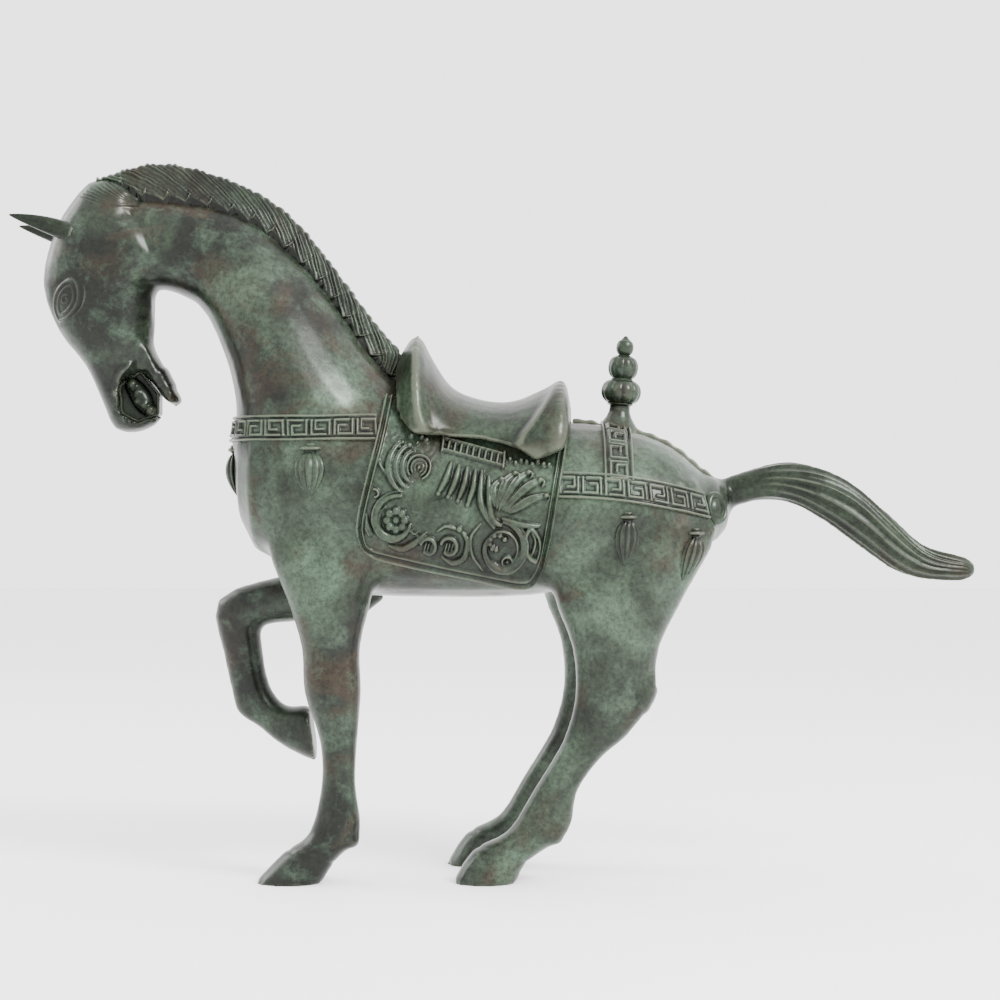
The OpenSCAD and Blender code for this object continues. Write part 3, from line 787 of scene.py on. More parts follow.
def laid(tree, origins, directions):
    """Where rays meet the skin, with the normals there. A missed ray takes its neighbour's hit."""
    places, ways = [], []
    for origin, direction in zip(origins, directions):
        place, normal = surface(tree, origin, direction)
        if place is None:
            place, normal = (places[-1], ways[-1]) if places else (np.array(origin), -np.array(direction))
        places.append(place)
        ways.append(normal)
    return np.array(places), np.array(ways)


def evened(values, rows, columns, passes):
    """Softens a grid of vectors."""
    grid = values.reshape(rows, columns, -1).copy()
    for _ in range(passes):
        padded = np.pad(grid, ((1, 1), (1, 1), (0, 0)), mode="edge")
        grid = (padded[:-2, 1:-1] + padded[2:, 1:-1] + padded[1:-1, :-2] + padded[1:-1, 2:]
                + 2 * grid) / 6
    return grid.reshape(rows * columns, -1)


def plate(name, tree, origins, directions, heights, rows, columns, soften):
    """A closed plate on the skin. Heights are in millimetres above it."""
    places, ways = laid(tree, origins, directions)
    places = evened(places, rows, columns, soften)
    ways = evened(ways, rows, columns, soften)
    ways /= np.linalg.norm(ways, axis=1)[:, None]
    top = places + ways * (heights * MM)[:, None]
    return slab_mesh(name, top, places - ways * PLATE_DEPTH, rows, columns)


def cloth_edges():
    """The cloth's edges in the side view, in millimetres from the front lower corner of its box."""
    front = curve([(14, 100), (10.5, 78), (5, 54), (0.8, 34), (2.5, 22)], 90)
    rear = curve([(114, 96), (110.5, 70), (105.5, 42), (102.5, 24), (98, 10)], 90)
    bottom = curve([(2.5, 22), (9, 17), (30, 12), (60, 6), (84, 1.4), (93, 2.8), (98, 10)], 160)
    return front[::-1], rear[::-1], bottom


def leaf(r, root, tip, bend, width, height):
    """An acanthus leaf: a broad back, a sharp midrib and a curled head."""
    root, tip = np.array(root, float), np.array(tip, float)
    way = tip - root
    side = np.array((-way[1], way[0])) / np.linalg.norm(way)
    line = curve([root, root + 0.35 * way + 0.8 * bend * side, root + 0.7 * way + bend * side, tip])
    r.ridge(line, width, height, 0.75)
    r.ridge(line + 0.55 * width * side, 0.55, height + 0.35, 0.4)
    r.boss(tip, 0.62 * width, height + 0.5)


def volute(r, centre, radius, start, turn, width, height):
    """A scroll that winds in to a bead, with a thin line along its outer edge."""
    r.ridge(arc(centre, radius, start, start + turn, 0.62 * radius), width, height, 0.45)
    edge = arc(centre, radius + 0.95 * width, start, start + 0.85 * turn, 0.62 * radius + 0.9 * width)
    r.ridge(edge, 0.55, height - 0.2, 0.5)


def front_acanthus(r):
    """Crescent leaves about an open spiral, below the pommel."""
    curl = (33.5, 62)
    for radius in (2.2, 3.9, 5.9):
        r.ridge(arc(curl, radius, -70, 215), 1.0, 1.3 + 0.24 * radius, 0.3)
    r.boss(curl, 1.2, 1.9)
    for k, radius in enumerate((9.0, 12.6, 16.2)):
        r.ridge(arc(curl, radius, 108 + 6 * k, 244 - 4 * k, 0.92 * radius), 2.2, 2.9, 0.75)
        r.ridge(arc(curl, radius + 1.2, 112 + 6 * k, 236 - 4 * k, 0.92 * radius), 0.5, 2.8, 0.5)
    for k in range(9):
        r.boss(around(curl, 14.5 + 2.4 * math.sin(2.6 * k), 76 + 9.5 * k),
               1.2 + 0.35 * math.cos(1.7 * k), 2.0)
    r.ridge(curve([(15, 88), (11.6, 76), (12.6, 66), (20, 54)]), 1.0, 2.1, 0.5)


def front_volute(r):
    """The rosette scroll low at the front, with its side leaf and the runner along the hem."""
    eye = (22, 36)
    volute(r, eye, 12.4, 78, 262, 2.2, 2.9)
    r.ridge(arc(eye, 8.6, 130, 330), 0.8, 1.7, 0.4)
    r.flower(eye, 6.8, 8, 2.5)
    leaf(r, (10, 28), (6, 49), 3.0, 2.4, 2.3)
    r.ridge(arc((11, 49), 3.3, 200, -100, 1.3), 0.9, 2.2, 0.3)
    r.ridge(curve([(18, 23.6), (25, 22), (32, 25), (37.5, 29.5)]), 2.0, 2.7, 0.6)
    for k in range(3):
        r.ridge(arc((29 + 2.4 * k, 32.5 - 1.2 * k), 2.2, 200, 350), 0.55, 1.4, 0.5)
    for centre, radius in (((38.8, 23), 4.0), ((49.6, 23), 4.3)):
        r.ridge(arc(centre, radius, 160, -130, 0.8 * radius), 1.5, 2.6, 0.2)
        for shift in (-1.6, 0, 1.6):
            r.ridge([(centre[0] + shift - 0.7, centre[1] - 2.2), (centre[0] + shift + 0.5, centre[1] + 1.4)],
                    0.6, 1.9)
    r.ridge(curve([(45.5, 18), (51, 15), (57, 17.5), (59, 25), (56, 30.5)]), 1.8, 2.5, 0.6)
    r.boss((55, 31.5), 1.9, 2.5)
    r.ridge(curve([(43, 30), (48, 33), (54, 31)]), 1.1, 1.8, 0.5)


def rear_volute(r):
    """The great scroll under the drapery, with the tall curl beside it."""
    eye = (76.5, 22)
    volute(r, eye, 12.8, 84, -300, 2.3, 3.0)
    r.ridge(arc(eye, 8.4, 150, -60), 0.9, 2.0, 0.4)
    for k in range(7):
        r.boss(around((74, 24.5), 4.6 - 0.3 * k, 25 + 40 * k), 1.7, 2.4)
    r.ridge(arc((79.5, 15.5), 2.6, 0, 360), 0.75, 2.1)
    r.boss((79.5, 15.5), 1.0, 1.9)
    r.ridge(almond((92.5, 23.5), 16, 8, 100), 1.3, 2.5)
    r.ridge(curve([(91.5, 30), (93.6, 25), (91, 17)]), 0.9, 2.1, 0.5)
    r.ridge(curve([(66, 34), (61, 28), (61.5, 19), (67, 11)]), 1.2, 2.0, 0.5)


def drapery(r):
    """Flutes that hang from the ribbed bar, then two long folds, over a hollow with a smooth lump."""
    r.groove(curve([(26, 43.5), (33, 43), (40, 47), (46, 52)]), 3.4, 2.0)
    r.swell(curve([(30, 44), (40, 42.5), (50, 42), (59, 37)]), 4.5, 2.2)
    r.ridge(curve([(30, 40.5), (38, 38.5), (47, 38), (55, 36)]), 1.1, 1.3, 0.6)
    for k in range(4):
        top = np.array((50.4 + 4.2 * k, 64.5 - 1.3 * k))
        foot = np.array((43.8 + 5.1 * k, 48.8 - 1.8 * k))
        r.ridge(curve([top, 0.5 * (top + foot) + (0.9, 0), foot]), 1.75, 3.2, 0.45)
        r.boss(foot, 1.5, 2.4)
    for k in range(2):
        top = np.array((66.4 + 3.6 * k, 60 - 3 * k))
        r.ridge(curve([top, top + (-0.8 + k, -13), top + (1.6 + 0.6 * k, -21), top + (6.4, -28 + 4 * k)]),
                2.0, 3.2, 0.5)


def rear_leaves(r):
    """A fan of leaves that curl over toward the rear edge."""
    tips = [(76.5, 55.5), (83.5, 58.5), (90.5, 59), (96.5, 55), (99.5, 47.5)]
    for k, tip in enumerate(tips):
        leaf(r, (74.5 + 0.8 * k, 42 - 1.2 * k), tip, 3.2 - 0.4 * k, 2.5, 2.5)
        r.ridge(arc((tip[0] + 0.6, tip[1] - 1.6), 2.3, 150, -70, 1.1), 0.75, 2.6, 0.3)
    r.groove(curve([(75, 39.5), (85, 36.5), (97, 36)]), 1.5, 1.8)
    r.ridge(curve([(77, 36.5), (86, 33.6), (96, 33)]), 1.8, 2.5, 0.5)
    for k in range(9):
        r.boss((78 + 2.9 * k, 65.5 - 0.25 * k + 0.9 * math.sin(2.3 * k)), 1.15, 1.8)


def ribbed_bar(r):
    """The bar below the seat, with small ribs between two lines."""
    start, end = np.array((45.5, 74)), np.array((77.5, 65.5))
    r.ridge([start + (0, 3.4), end + (0, 3.0)], 0.75, 1.8)
    r.ridge([start - (0, 2.8), end - (0, 2.8)], 0.75, 1.8)
    for k in range(11):
        foot = start + (end - start) * k / 10
        tall = 3.8 if k in (0, 10) else 1.7
        r.ridge([foot - (0.2, tall), foot + (0.5, tall)], 0.9, 2.2)


def cloth_relief(at, edges):
    """All the cloth's ornament with its double rims, in millimetres of height."""
    front, rear, bottom = edges
    r = Relief(at)
    for ornament in (drapery, front_acanthus, front_volute, rear_volute, rear_leaves, ribbed_bar):
        ornament(r)
    chased = 0.12 * (np.sin(1.2 * at[:, 0] + 1.3 * np.sin(0.6 * at[:, 1]))
                     * np.sin(1.1 * at[:, 1] + 1.1 * np.sin(0.7 * at[:, 0]))) * (r.height < 0.2)
    inward = near_line(at, np.concatenate([front[::-1], bottom, rear]))[0]
    field = rise(inward, 4.6, 5.6)
    rims = 2.1 * bell(inward, 1.1, 1.0) + 1.6 * bell(inward, 3.9, 0.65)
    return (np.clip(r.height, -1.6, 3.3) + chased) * field + rims


def even_places(line, shares):
    """The places at some shares of a flat line's length."""
    gaps = distances(line)
    return np.stack([np.interp(shares * gaps[-1], gaps, line[:, k]) for k in (0, 1)], -1)


def saddle_cloth(tree, node, side):
    """The cloth's field is a grid stretched between its four edges."""
    low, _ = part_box(node)
    rows, columns = 217, 265
    front, rear, bottom = edges = cloth_edges()
    v = np.linspace(0, 1, rows)[:, None, None]
    u = np.linspace(0, 1, columns)[None, :, None]
    left = even_places(front, v[:, 0, 0])[:, None]
    right = even_places(rear, v[:, 0, 0])[:, None]
    under = even_places(bottom, u[0, :, 0])[None]
    over = left[-1] + (right[-1] - left[-1]) * u
    corners = ((1 - u) * (1 - v) * left[0] + u * (1 - v) * right[0]
               + (1 - u) * v * left[-1] + u * v * right[-1])
    at = ((1 - v) * under + v * over + (1 - u) * left + u * right - corners).reshape(-1, 2)
    height = 1.9 + cloth_relief(at, edges)
    origins = np.stack([low.x + at[:, 0] * MM, np.full(len(at), side * CLEAR),
                        low.z + at[:, 1] * MM], 1)
    mesh = plate(node, tree, origins, [(0, -side, 0)] * len(at), height, rows, columns, 10)
    piece(node + "_relief", mesh, RELIEF, [node], 5, 0.30)


FRET = [[(0.10, -0.52), (0.10, 0.50), (0.72, 0.50), (0.72, -0.14), (0.40, -0.14)],
        [(0.88, 0.50), (0.88, -0.52), (0.26, -0.52)]]


def band_relief(s, t, half_width, length, unit=12.0, gap=None):
    """A key fret between two double rims. s runs along the band and t across, in millimetres."""
    r = Relief(np.stack([s, t], 1))
    count = max(2, round(length / unit))
    step = length / count
    for k in range(count):
        for line in FRET:
            flip = 1 if k % 2 == 0 else -1
            if gap and gap[0] < (k + 0.5) * step < gap[1]:
                continue
            r.ridge([((k + a) * step, flip * b * half_width) for a, b in line], 0.8, 1.3)
    edge = half_width - np.abs(t)
    rims = 1.4 * bell(edge, 0.9, 0.85) + 0.5 * bell(edge, 2.9, 0.5)
    return r.height + rims


def ribbon(name, tree, path, outs, across, half_width, base, relief, node, rows=34):
    """A strap laid on the skin along a path, with its own relief."""
    path, across = np.array(path), np.array(across)
    gaps = distances(path)
    columns = int(gaps[-1] / (0.45 * MM)) + 2
    s = np.linspace(0, gaps[-1], columns)

    def spread(values):
        values = np.array(values, float)
        return np.stack([np.interp(s, gaps, values[:, k]) for k in range(3)], 1)

    line, out = spread(path), spread(outs)
    out /= np.linalg.norm(out, axis=1)[:, None]
    t = np.linspace(-1, 1, rows)
    origins = line[None] + out[None] * 12 * MM + across * (t * half_width)[:, None, None]
    ways = np.broadcast_to(-out[None], origins.shape)
    grid_s = np.broadcast_to(s / MM, (rows, columns)).ravel()
    grid_t = np.broadcast_to((t * half_width / MM)[:, None], (rows, columns)).ravel()
    height = base + relief(grid_s, grid_t, half_width / MM, gaps[-1] / MM)
    mesh = plate(name, tree, origins.reshape(-1, 3), ways.reshape(-1, 3), height, rows, columns, 5)
    piece(name, mesh, RELIEF, [node], 3, 0.12)


def breast_band(tree):
    """A fretted band about the chest, from one saddle cloth to the other."""
    middle = (BAND_LOW.z + BAND_HIGH.z) / 2
    half = (BAND_HIGH.z - BAND_LOW.z) / 2
    pivot = np.array((BAND_HIGH.x - 12 * MM, 0, middle))
    path, outs = [], []
    for a in np.radians(np.linspace(-102, 102, 160)):
        way = np.array((-math.cos(a), math.sin(a), 0))
        place, normal = surface(tree, pivot + way * (pivot[0] - BAND_LOW.x + 9 * MM), -way)
        path.append(place)
        outs.append(level(normal))
    ribbon("breast_band_fret", tree, path, outs, (0, 0, 1), half, 0.9, band_relief, "breast_band")


def crupper_band(tree, node, side):
    """A fretted band on the flank, which drops along a parabola toward the dock."""
    low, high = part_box(node)
    half = 7 * MM
    start, end = low.x - 1 * MM, high.x + 2 * MM
    drop = high.z - low.z - 2 * half
    path, outs = [], []
    for x in np.linspace(start, end, 60):
        z = high.z - half - drop * ((x - start) / (end - start)) ** 2
        place, normal = beside(tree, x, z, side)
        path.append(place)
        outs.append(level(normal))
    ribbon(node + "_fret", tree, path, outs, (0, 0, 1), half, 0.9, band_relief, node)


def croup_strap(tree):
    """The strap over the croup, with its fret left out under the finial."""
    low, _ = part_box("croup_strap")
    x = low.x + 8 * MM
    pivot = np.array((x, 0, low.z - 12 * MM))
    path, outs = [], []
    for a in np.radians(np.linspace(12, 168, 120)):
        way = np.array((0, -math.cos(a), math.sin(a)))
        place, _ = surface(tree, pivot + way * CLEAR, -way)
        path.append(place)
        outs.append(way)
    length = distances(path)[-1] / MM
    bare = (0.5 * length - 13, 0.5 * length + 13)

    def relief(s, t, half_width, total):
        return band_relief(s, t, half_width, total, 13.0, bare)

    ribbon("croup_strap_fret", tree, path, outs, (1, 0, 0), 8 * MM, 0.9, relief, "croup_strap")


def spine_strap(tree, node):
    """A plain strap along the spine. The rear one runs to the dock and sinks in there."""
    low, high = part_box(node)
    path, outs = [], []
    end = max(high.x, DOCK - 6 * MM) if "rear" in node else high.x
    for x in np.linspace(low.x, end, 40):
        place, normal = surface(tree, (x, 0, 0.4), (0, 0, -1))
        path.append(place)
        outs.append(np.array((normal[0], 0, normal[2])))

    def relief(s, t, half_width, total):
        edge = half_width - np.abs(t)
        rims = 1.1 * bell(edge, 0.9, 0.8) + 0.35 * bell(t, 0, 1.2)
        return rims + 0.3 * np.sin(0.7 * s) - 1.6 * rise(s, total - 6, total)

    ribbon(node + "_rim", tree, path, outs, (0, 1, 0), 4.5 * MM, 0.8, relief, node, rows=24)


def tassel(tree, node, lean=0.0):
    """A gathered tassel: a bow, a neck and fluted threads drawn to a point."""
    low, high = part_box(node)
    middle = (low + high) / 2
    if abs(middle.y) < 1 * MM:
        way = np.array((-1.0, 0, 0))
    else:
        _, normal = beside(tree, middle.x, middle.z, math.copysign(1, middle.y))
        way = level(normal)
    across = np.array((-way[1], way[0], 0))
    wide = (8.0 if "chest" in node else 6.6) * MM
    tall = high.z - low.z
    angles = full_turn(80)
    rings = []
    for t in np.linspace(0.01, 0.995, 52):
        bow = 0.72 * bell(t, 0.10, 0.07)
        threads = math.sin(math.pi * min(1, max(0, (t - 0.16) / 0.84)) ** 0.72) ** 0.7
        size = max(0.05, bow, threads, 0.34 if t < 0.3 else 0)
        ribs = np.abs(np.sin(5 * angles + 0.5 * t)) ** 0.8
        flute = 1 - 0.24 * (1 - ribs) * (t > 0.2)
        x = middle.x + lean * t * t * tall
        start = np.array((x, middle.y, high.z - t * tall)) + way * 30 * MM
        place, _ = surface(tree, start, -way)
        rings.append(place + (size * wide * flute * np.cos(angles))[:, None] * across
                     + (size * 5.2 * MM * flute * np.sin(angles))[:, None] * way)
    piece(node + "_threads", tube_mesh(node, rings), RELIEF, [node], 3, 0.2)


def rosette(tree, node, side):
    """A turned button with a ring, at the end of a crupper band."""
    low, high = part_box(node)
    middle = (low + high) / 2
    place, normal = beside(tree, middle.x, middle.z, side)
    way = normal / np.linalg.norm(normal)
    across = np.cross(way, (0, 0, 1))
    across /= np.linalg.norm(across)
    up = np.cross(across, way)
    radii = np.array([0.6, 2.0, 3.4, 4.2, 4.9, 5.6, 6.4, 7.0, 7.3, 7.3])
    raise_by = np.array([2.3, 2.2, 1.6, 1.5, 2.4, 2.7, 2.3, 1.4, 0.2, -2.0])
    fine = np.linspace(0, len(radii) - 1, 40)
    radii, raise_by = np.interp(fine, range(10), radii), np.interp(fine, range(10), raise_by)
    angles = full_turn(72)
    rings = [place + way * h * MM + (r * MM) * (np.cos(angles)[:, None] * across
                                                + 1.25 * np.sin(angles)[:, None] * up)
             for r, h in zip(radii, raise_by)]
    piece(node + "_button", tube_mesh(node, rings), RELIEF, [node], 3, 0.14)


# ---- mane, ears, saddle, finial

ARCH_HUB = np.array((NECK_LOW.x - 6 * MM, NECK_SEAM + 3 * MM))


def unbroken(values):
    """A row of measures, softened, with its gaps bridged."""
    values = np.array(values)
    good = ~np.isnan(values)
    line = np.interp(np.arange(len(values)), np.flatnonzero(good), values[good])
    return np.convolve(np.pad(line, 20, mode="edge"), np.ones(41) / 41, "valid")


def crest_arcs(tree, spans):
    """How far from the hub the crest's top and the neck beside it lie, at each angle."""
    crest = tree_of(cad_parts["mane_crest"].data)
    hub = np.array((ARCH_HUB[0], 0, ARCH_HUB[1]))
    tops, roots = [], []
    for a in spans:
        way = np.array((math.cos(a), 0, math.sin(a)))
        outside = hub + way * 0.2
        top, _ = surface(crest, outside, -way)
        root, _ = surface(tree, outside + np.array((0, -7 * MM, 0)), -way)
        for reaches, place in ((tops, top), (roots, root)):
            reaches.append(np.nan if place is None else np.linalg.norm((place - hub)[[0, 2]]))
    return unbroken(tops), unbroken(roots)


def strand_waves(along, depth, slant):
    """Where each strand runs, and how proud it stands, from places along and below the crest."""
    pitch = 2.0 * np.sqrt(1 + slant ** 2)
    order = np.argsort(along)
    turns = np.zeros(len(along))
    turns[order] = np.r_[0, np.cumsum(np.diff(along[order]) / pitch[order][1:])]
    shifted = along[None] - slant[None] * depth * rise(depth, 0, 3)
    shifted = shifted + 0.5 * np.sin(0.45 * shifted) + 0.35 * np.sin(0.9 * depth + 0.21 * along[None])
    phase = np.interp(shifted, along[order], turns[order])
    uneven = 0.75 + 0.25 * np.sin(1.7 * np.floor(phase))
    return shifted, uneven * np.abs(np.sin(math.pi * phase)) ** 0.7


def mane(tree):
    """A clipped crest of slanting strands that end in tufts at the root."""
    rows, columns = 120, 560
    spans = np.radians(np.linspace(8.5, 106, columns))
    degrees = np.degrees(spans)
    top, root = crest_arcs(tree, spans)
    closing = np.clip((spans[-1] - spans) / np.radians(9), 0, 1) ** 0.5
    root = root - 7 * MM * (1 - closing)
    top = root + (top - root) * closing + 3 * MM * bell(degrees, 15, 7)
    along = np.cumsum(np.r_[0, np.abs(np.diff(spans)) * top[1:]]) / MM
    along = along[-1] - along
    tuft = 13.5
    lock = (along / tuft) % 1
    root = root + 1.5 * MM - 4.5 * MM * lock ** 2.2 * np.clip((1 - lock) * 7, 0, 1)
    phi = np.linspace(0, math.pi, rows)
    y = -7.6 * MM * np.sign(np.cos(phi)) * np.abs(np.cos(phi)) ** 0.62
    r = root[None] + (top - root)[None] * (np.sin(phi) ** 0.72)[:, None]
    depth = (top[None] - r) / MM
    shifted, strand = strand_waves(along, depth, np.interp(degrees, (15, 70, 88, 104), (2.5, 2.1, 1.5, 1.1)))
    wave = 0.5 + 0.5 * np.cos(2 * math.pi * (shifted / tuft))
    curl = bell(depth, (top - root)[None] / MM - 2.2, 2.0) * lock[None] ** 2
    lift = (1.15 * strand + 0.4 * wave + 1.8 * curl - 1.1) * MM
    taper = closing[None]
    r = r + lift * np.abs(np.sin(phi))[:, None] * taper
    y = y[:, None] * (1 + 0.18 * (strand - 0.5) + 0.2 * curl) * (0.35 + 0.65 * taper)

    def grid(reach, across):
        """The places at some reach from the hub along the arch and some distance across it."""
        x, z = ARCH_HUB[0] + reach * np.cos(spans), ARCH_HUB[1] + reach * np.sin(spans)
        return np.stack(np.broadcast_arrays(x, across, z), -1).reshape(-1, 3)

    mesh = slab_mesh("mane", grid(r, y), grid(root - 10 * MM, 0.8 * y[:, :1]), rows, columns)
    strands = piece("mane_strands", mesh, MANE, ["mane_crest"], 4, 0.24)
    # Painted shade below the tufts
    paint_shade_under_tufts(strands.data, rows, columns)


def paint_shade_under_tufts(mesh, rows, columns):
    """Painted shade: the mane's underside and its two lowest rows on each side get a high hollow value, so
    the patina comes out dark below the tufts, where the mane stands off the neck.
    """
    layer = mesh.attributes["sunk"].data
    sunk = np.zeros(len(layer), np.float32)
    layer.foreach_get("value", sunk)
    # Painted shade on the hidden underside and on the two lowest rows of each side
    sunk[rows * columns:] = 0.9
    outside = sunk[:rows * columns].reshape(rows, columns)
    outside[:2] = 0.7
    outside[-2:] = 0.7
    layer.foreach_set("value", sunk)


def ear(node):
    """A horn-like ear with a long hollow on its outer face."""
    low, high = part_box(node)
    outside = 1.5 * math.pi if low.y < 0 else 0.5 * math.pi
    tip = np.array((low.x, (low.y + high.y) / 2, high.z - 1.0 * MM))
    root = np.array((high.x + 3 * MM, (low.y + high.y) / 2, low.z + 3.5 * MM))
    length = np.linalg.norm(root - tip)
    way = (root - tip) / length
    up = np.array((-way[2], 0, way[0]))
    angles = full_turn(64)
    rings = []
    for t in np.linspace(0, 1, 64):
        wide = (0.3 + 4.9 * math.sin(0.5 * math.pi * t) ** 0.8) * MM
        thick = 0.3 * MM + ((high.y - low.y) / 2 - 0.6 * MM) * t ** 0.8
        hollow = 1 - 0.8 * math.sin(math.pi * min(1, 1.1 * t)) * bell(angles, outside, 0.6)
        centre = tip + way * length * t + up * 0.6 * MM * math.sin(math.pi * t)
        rings.append(centre + (wide * np.cos(angles))[:, None] * up
                     + (thick * np.sin(angles) * hollow)[:, None] * np.array((0, 1, 0)))
    piece(node + "_leaf", tube_mesh(node, rings), TAIL, [node], 3, 0.2)


def saddle():
    """Sharp-edged pommel and cantle with the seat slung between them."""
    mesh = outer_shell(voxels(joined("saddle", ["saddle"]), SADDLE_VOXEL))
    move_points(mesh, smoothed(points_of(mesh), edge_pairs(mesh), 70))
    mesh = finer(mesh, "CATMULL_CLARK")
    co = points_of(mesh)
    at = side_view(co)
    low, high = SADDLE_LOW / MM, SADDLE_HIGH / MM
    pommel = curve([(low.x + 11, high.z), (low.x + 11.5, high.z - 20), (low.x + 13, high.z - 42),
                    (low.x + 17, low.z + 13)])
    cantle = curve([(high.x - 6.5, high.z - 21), (high.x - 12, low.z + 33), (high.x - 18, low.z + 23),
                    (high.x - 24, low.z + 15), (high.x - 29, low.z + 8)])
    z = at[:, 1]
    front = np.interp(z, pommel[::-1, 1], pommel[::-1, 0])
    back = np.interp(z, cantle[::-1, 1], cantle[::-1, 0])
    inside = rise(at[:, 0], front, front + 7) * rise(at[:, 0], back, back - 5)
    outer = sideways(mesh, 1.6) * rise(np.abs(co[:, 1]) / MM, 6, 18)
    r = Relief(at)
    r.swell(pommel, 2.2, 1.0)
    r.swell(cantle, 1.8, 1.1)
    lobe = curve([(low.x + 2, low.z + 34), (low.x + 2.5, low.z + 24), (low.x + 6, low.z + 17),
                  (low.x + 13, low.z + 14)])
    r.ridge(lobe, 1.6, 0.8)
    sunk = 1.8 * inside * rise(z, low.z, low.z + 6)
    displaced(mesh, outer * (r.height - sunk))
    move_points(mesh, smoothed(points_of(mesh), edge_pairs(mesh), 2))
    piece("saddle_seat", mesh, SADDLE, ["saddle"], 4, 0.16)


def finial():
    """Three balls on a flared foot: two are lobed like melons, the top one is a smooth drop."""
    low, high = FINIAL_LOW, FINIAL_HIGH
    lean = math.radians(5)
    tall = 45 * MM
    foot = np.array((low.x + 9.6 * MM, 0, high.z - tall * math.cos(lean)))
    way = np.array((math.sin(lean), 0, math.cos(lean)))
    across = np.array((math.cos(lean), 0, -math.sin(lean)))
    profile = [(-9, 12.5), (-5, 11), (-2, 8.8), (1, 6.8), (4, 5.7), (7, 5.4), (8.2, 7.4)]
    for low_z, high_z, radius, neck in ((8.4, 21, 10.8, 5.4), (22, 33.6, 8.1, 4.6), (34.6, 42.6, 4.7, 2.4)):
        for a in np.radians(np.linspace(-80, 80, 13)):
            profile.append(((low_z + high_z) / 2 + (high_z - low_z) / 2 * math.sin(a),
                            neck + (radius - neck) * math.cos(a)))
    profile += [(43.6, 1.7), (44.6, 0.9), (45, 0.3)]
    heights, radii = np.array(profile).T
    fine = np.linspace(0, len(heights) - 1, 190)
    heights = np.interp(fine, range(len(profile)), heights)
    radii = np.interp(fine, range(len(profile)), radii)
    angles = full_turn(96)
    rings = []
    for h, r in zip(heights, radii):
        lobes = 0.085 * (8.4 < h < 21) + 0.075 * (22 < h < 33.6)
        reach = r * MM * (1 - lobes * (1 - np.abs(np.cos(5 * angles)) ** 0.6))
        rings.append(foot + way * h * MM + (reach * np.cos(angles))[:, None] * across
                     + (reach * np.sin(angles))[:, None] * np.array((0, 1, 0)))
    piece("finial_balls", tube_mesh("finial", rings), RELIEF, ["finial"], 3, 0.16)


def tongue():
    """The tongue with its teeth marks, set between the jaws."""
    mesh = outer_shell(voxels(joined("tongue", ["tongue_and_teeth"]), TONGUE_VOXEL))
    move_points(mesh, smoothed(points_of(mesh), edge_pairs(mesh), 6))
    co = points_of(mesh)
    flank = sideways(mesh, 2, 0.6)
    r = Relief(side_view(co))
    r.ridge(head_line((47, 28), (52, 21), (55.5, 15), (57.5, 11)), 5.2, 5.5, 0.5)
    for k in range(5):
        spot = at_head(49 + 2.2 * k + math.sin(2.1 * k), 24.5 - 3.4 * k + math.cos(1.7 * k))
        r.boss(spot, 3.4 + 0.4 * math.sin(3.1 * k), 6.0)
    displaced(mesh, flank * (r.height - 2.5))
    piece("tongue_and_teeth_cast", mesh, SHADED_MOUTH, ["tongue_and_teeth"], 3, 0.2)


def core_plugs(material):
    """The plugs end just under the dressed skin."""
    piece("core_plugs_dressed", plugs_inside(2 * MM), material, ["core_plugs"])


# ---- studio

def floor():
    """A pale floor that runs out of the picture."""
    reach = 4
    mesh = mesh_from("floor", [(-reach, -reach, 0), (reach, -reach, 0), (reach, reach, 0),
                               (-reach, reach, 0)], [(0, 1, 2, 3)])
    pale = bpy.data.materials.new("pale_floor")
    pale.use_nodes = True
    shader = pale.node_tree.nodes["Principled BSDF"]
    shader.inputs["Base Color"].default_value = (0.92, 0.92, 0.92, 1)
    shader.inputs["Roughness"].default_value = 0.6
    shader.inputs["Specular IOR Level"].default_value = 0.1
    mesh.materials.append(pale)
    shown("floor", mesh)


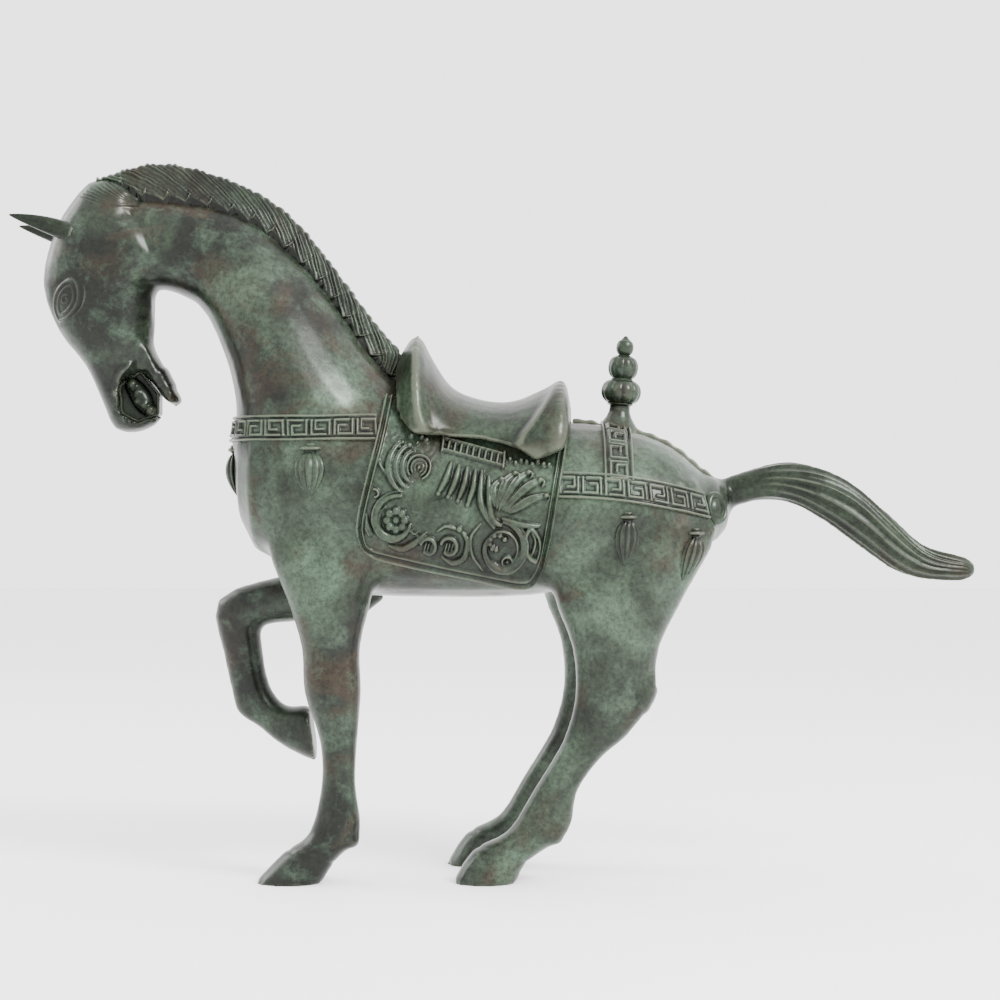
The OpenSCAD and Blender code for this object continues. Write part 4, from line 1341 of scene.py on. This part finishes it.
def studio():
    """A white room, a small key light from the upper front right and a rim light from behind."""
    world = bpy.data.worlds.new("studio")
    bpy.context.scene.world = world
    world.use_nodes = True
    sky = world.node_tree.nodes["Background"]
    sky.inputs["Color"].default_value = (1, 1, 1, 1)
    sky.inputs["Strength"].default_value = 3.0
    for name, place, size, power in (("key", (0.95, -0.85, 1.15), 0.5, 52),
                                     ("rim", (-1.3, 0.5, 0.9), 0.8, 16)):
        light = bpy.data.lights.new(name, "AREA")
        light.size = size
        light.energy = power
        lamp = shown(name, light)
        lamp.location = place
        lamp.rotation_euler = (Vector((0, 0, 0.2)) - Vector(place)).to_track_quat("-Z", "Y").to_euler()


def camera():
    """The photo's view: level, square on to the left side, 1.24 m away."""
    view = bpy.data.cameras.new("camera")
    view.sensor_width = 36
    view.lens = 82.48
    eye = shown("camera", view)
    eye.location = (0.003, -1.237, 0.2013)
    eye.rotation_euler = (math.radians(90), 0, 0)
    bpy.context.scene.camera = eye


# ---- build

skin = build_skin()
SKIN = tree_of(skin)
build_castings(skin)
for cloth, flank in (("near_saddle_cloth", LEFT), ("far_saddle_cloth", RIGHT)):
    saddle_cloth(SKIN, cloth, flank)
breast_band(SKIN)
crupper_band(SKIN, "near_crupper_band", LEFT)
crupper_band(SKIN, "far_crupper_band", RIGHT)
croup_strap(SKIN)
spine_strap(SKIN, "front_spine_strap")
spine_strap(SKIN, "rear_spine_strap")
for knot in ("chest_tassel_near", "chest_tassel_far", "chest_tassel_front"):
    tassel(SKIN, knot)
for knot in ("croup_tassel_near", "croup_tassel_far"):
    tassel(SKIN, knot, -0.06)
for knot in ("dock_tassel_near", "dock_tassel_far"):
    tassel(SKIN, knot, -0.25)
rosette(SKIN, "near_rosette", LEFT)
rosette(SKIN, "far_rosette", RIGHT)
mane(SKIN)
ear("near_ear")
ear("far_ear")
saddle()
finial()
tongue()
hidden = raw_bronze()
core_plugs(hidden)
for name in ("finial_nut", "joint_pins"):
    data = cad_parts[name].data
    data.materials.clear()
    data.materials.append(hidden)
floor()
studio()
camera()
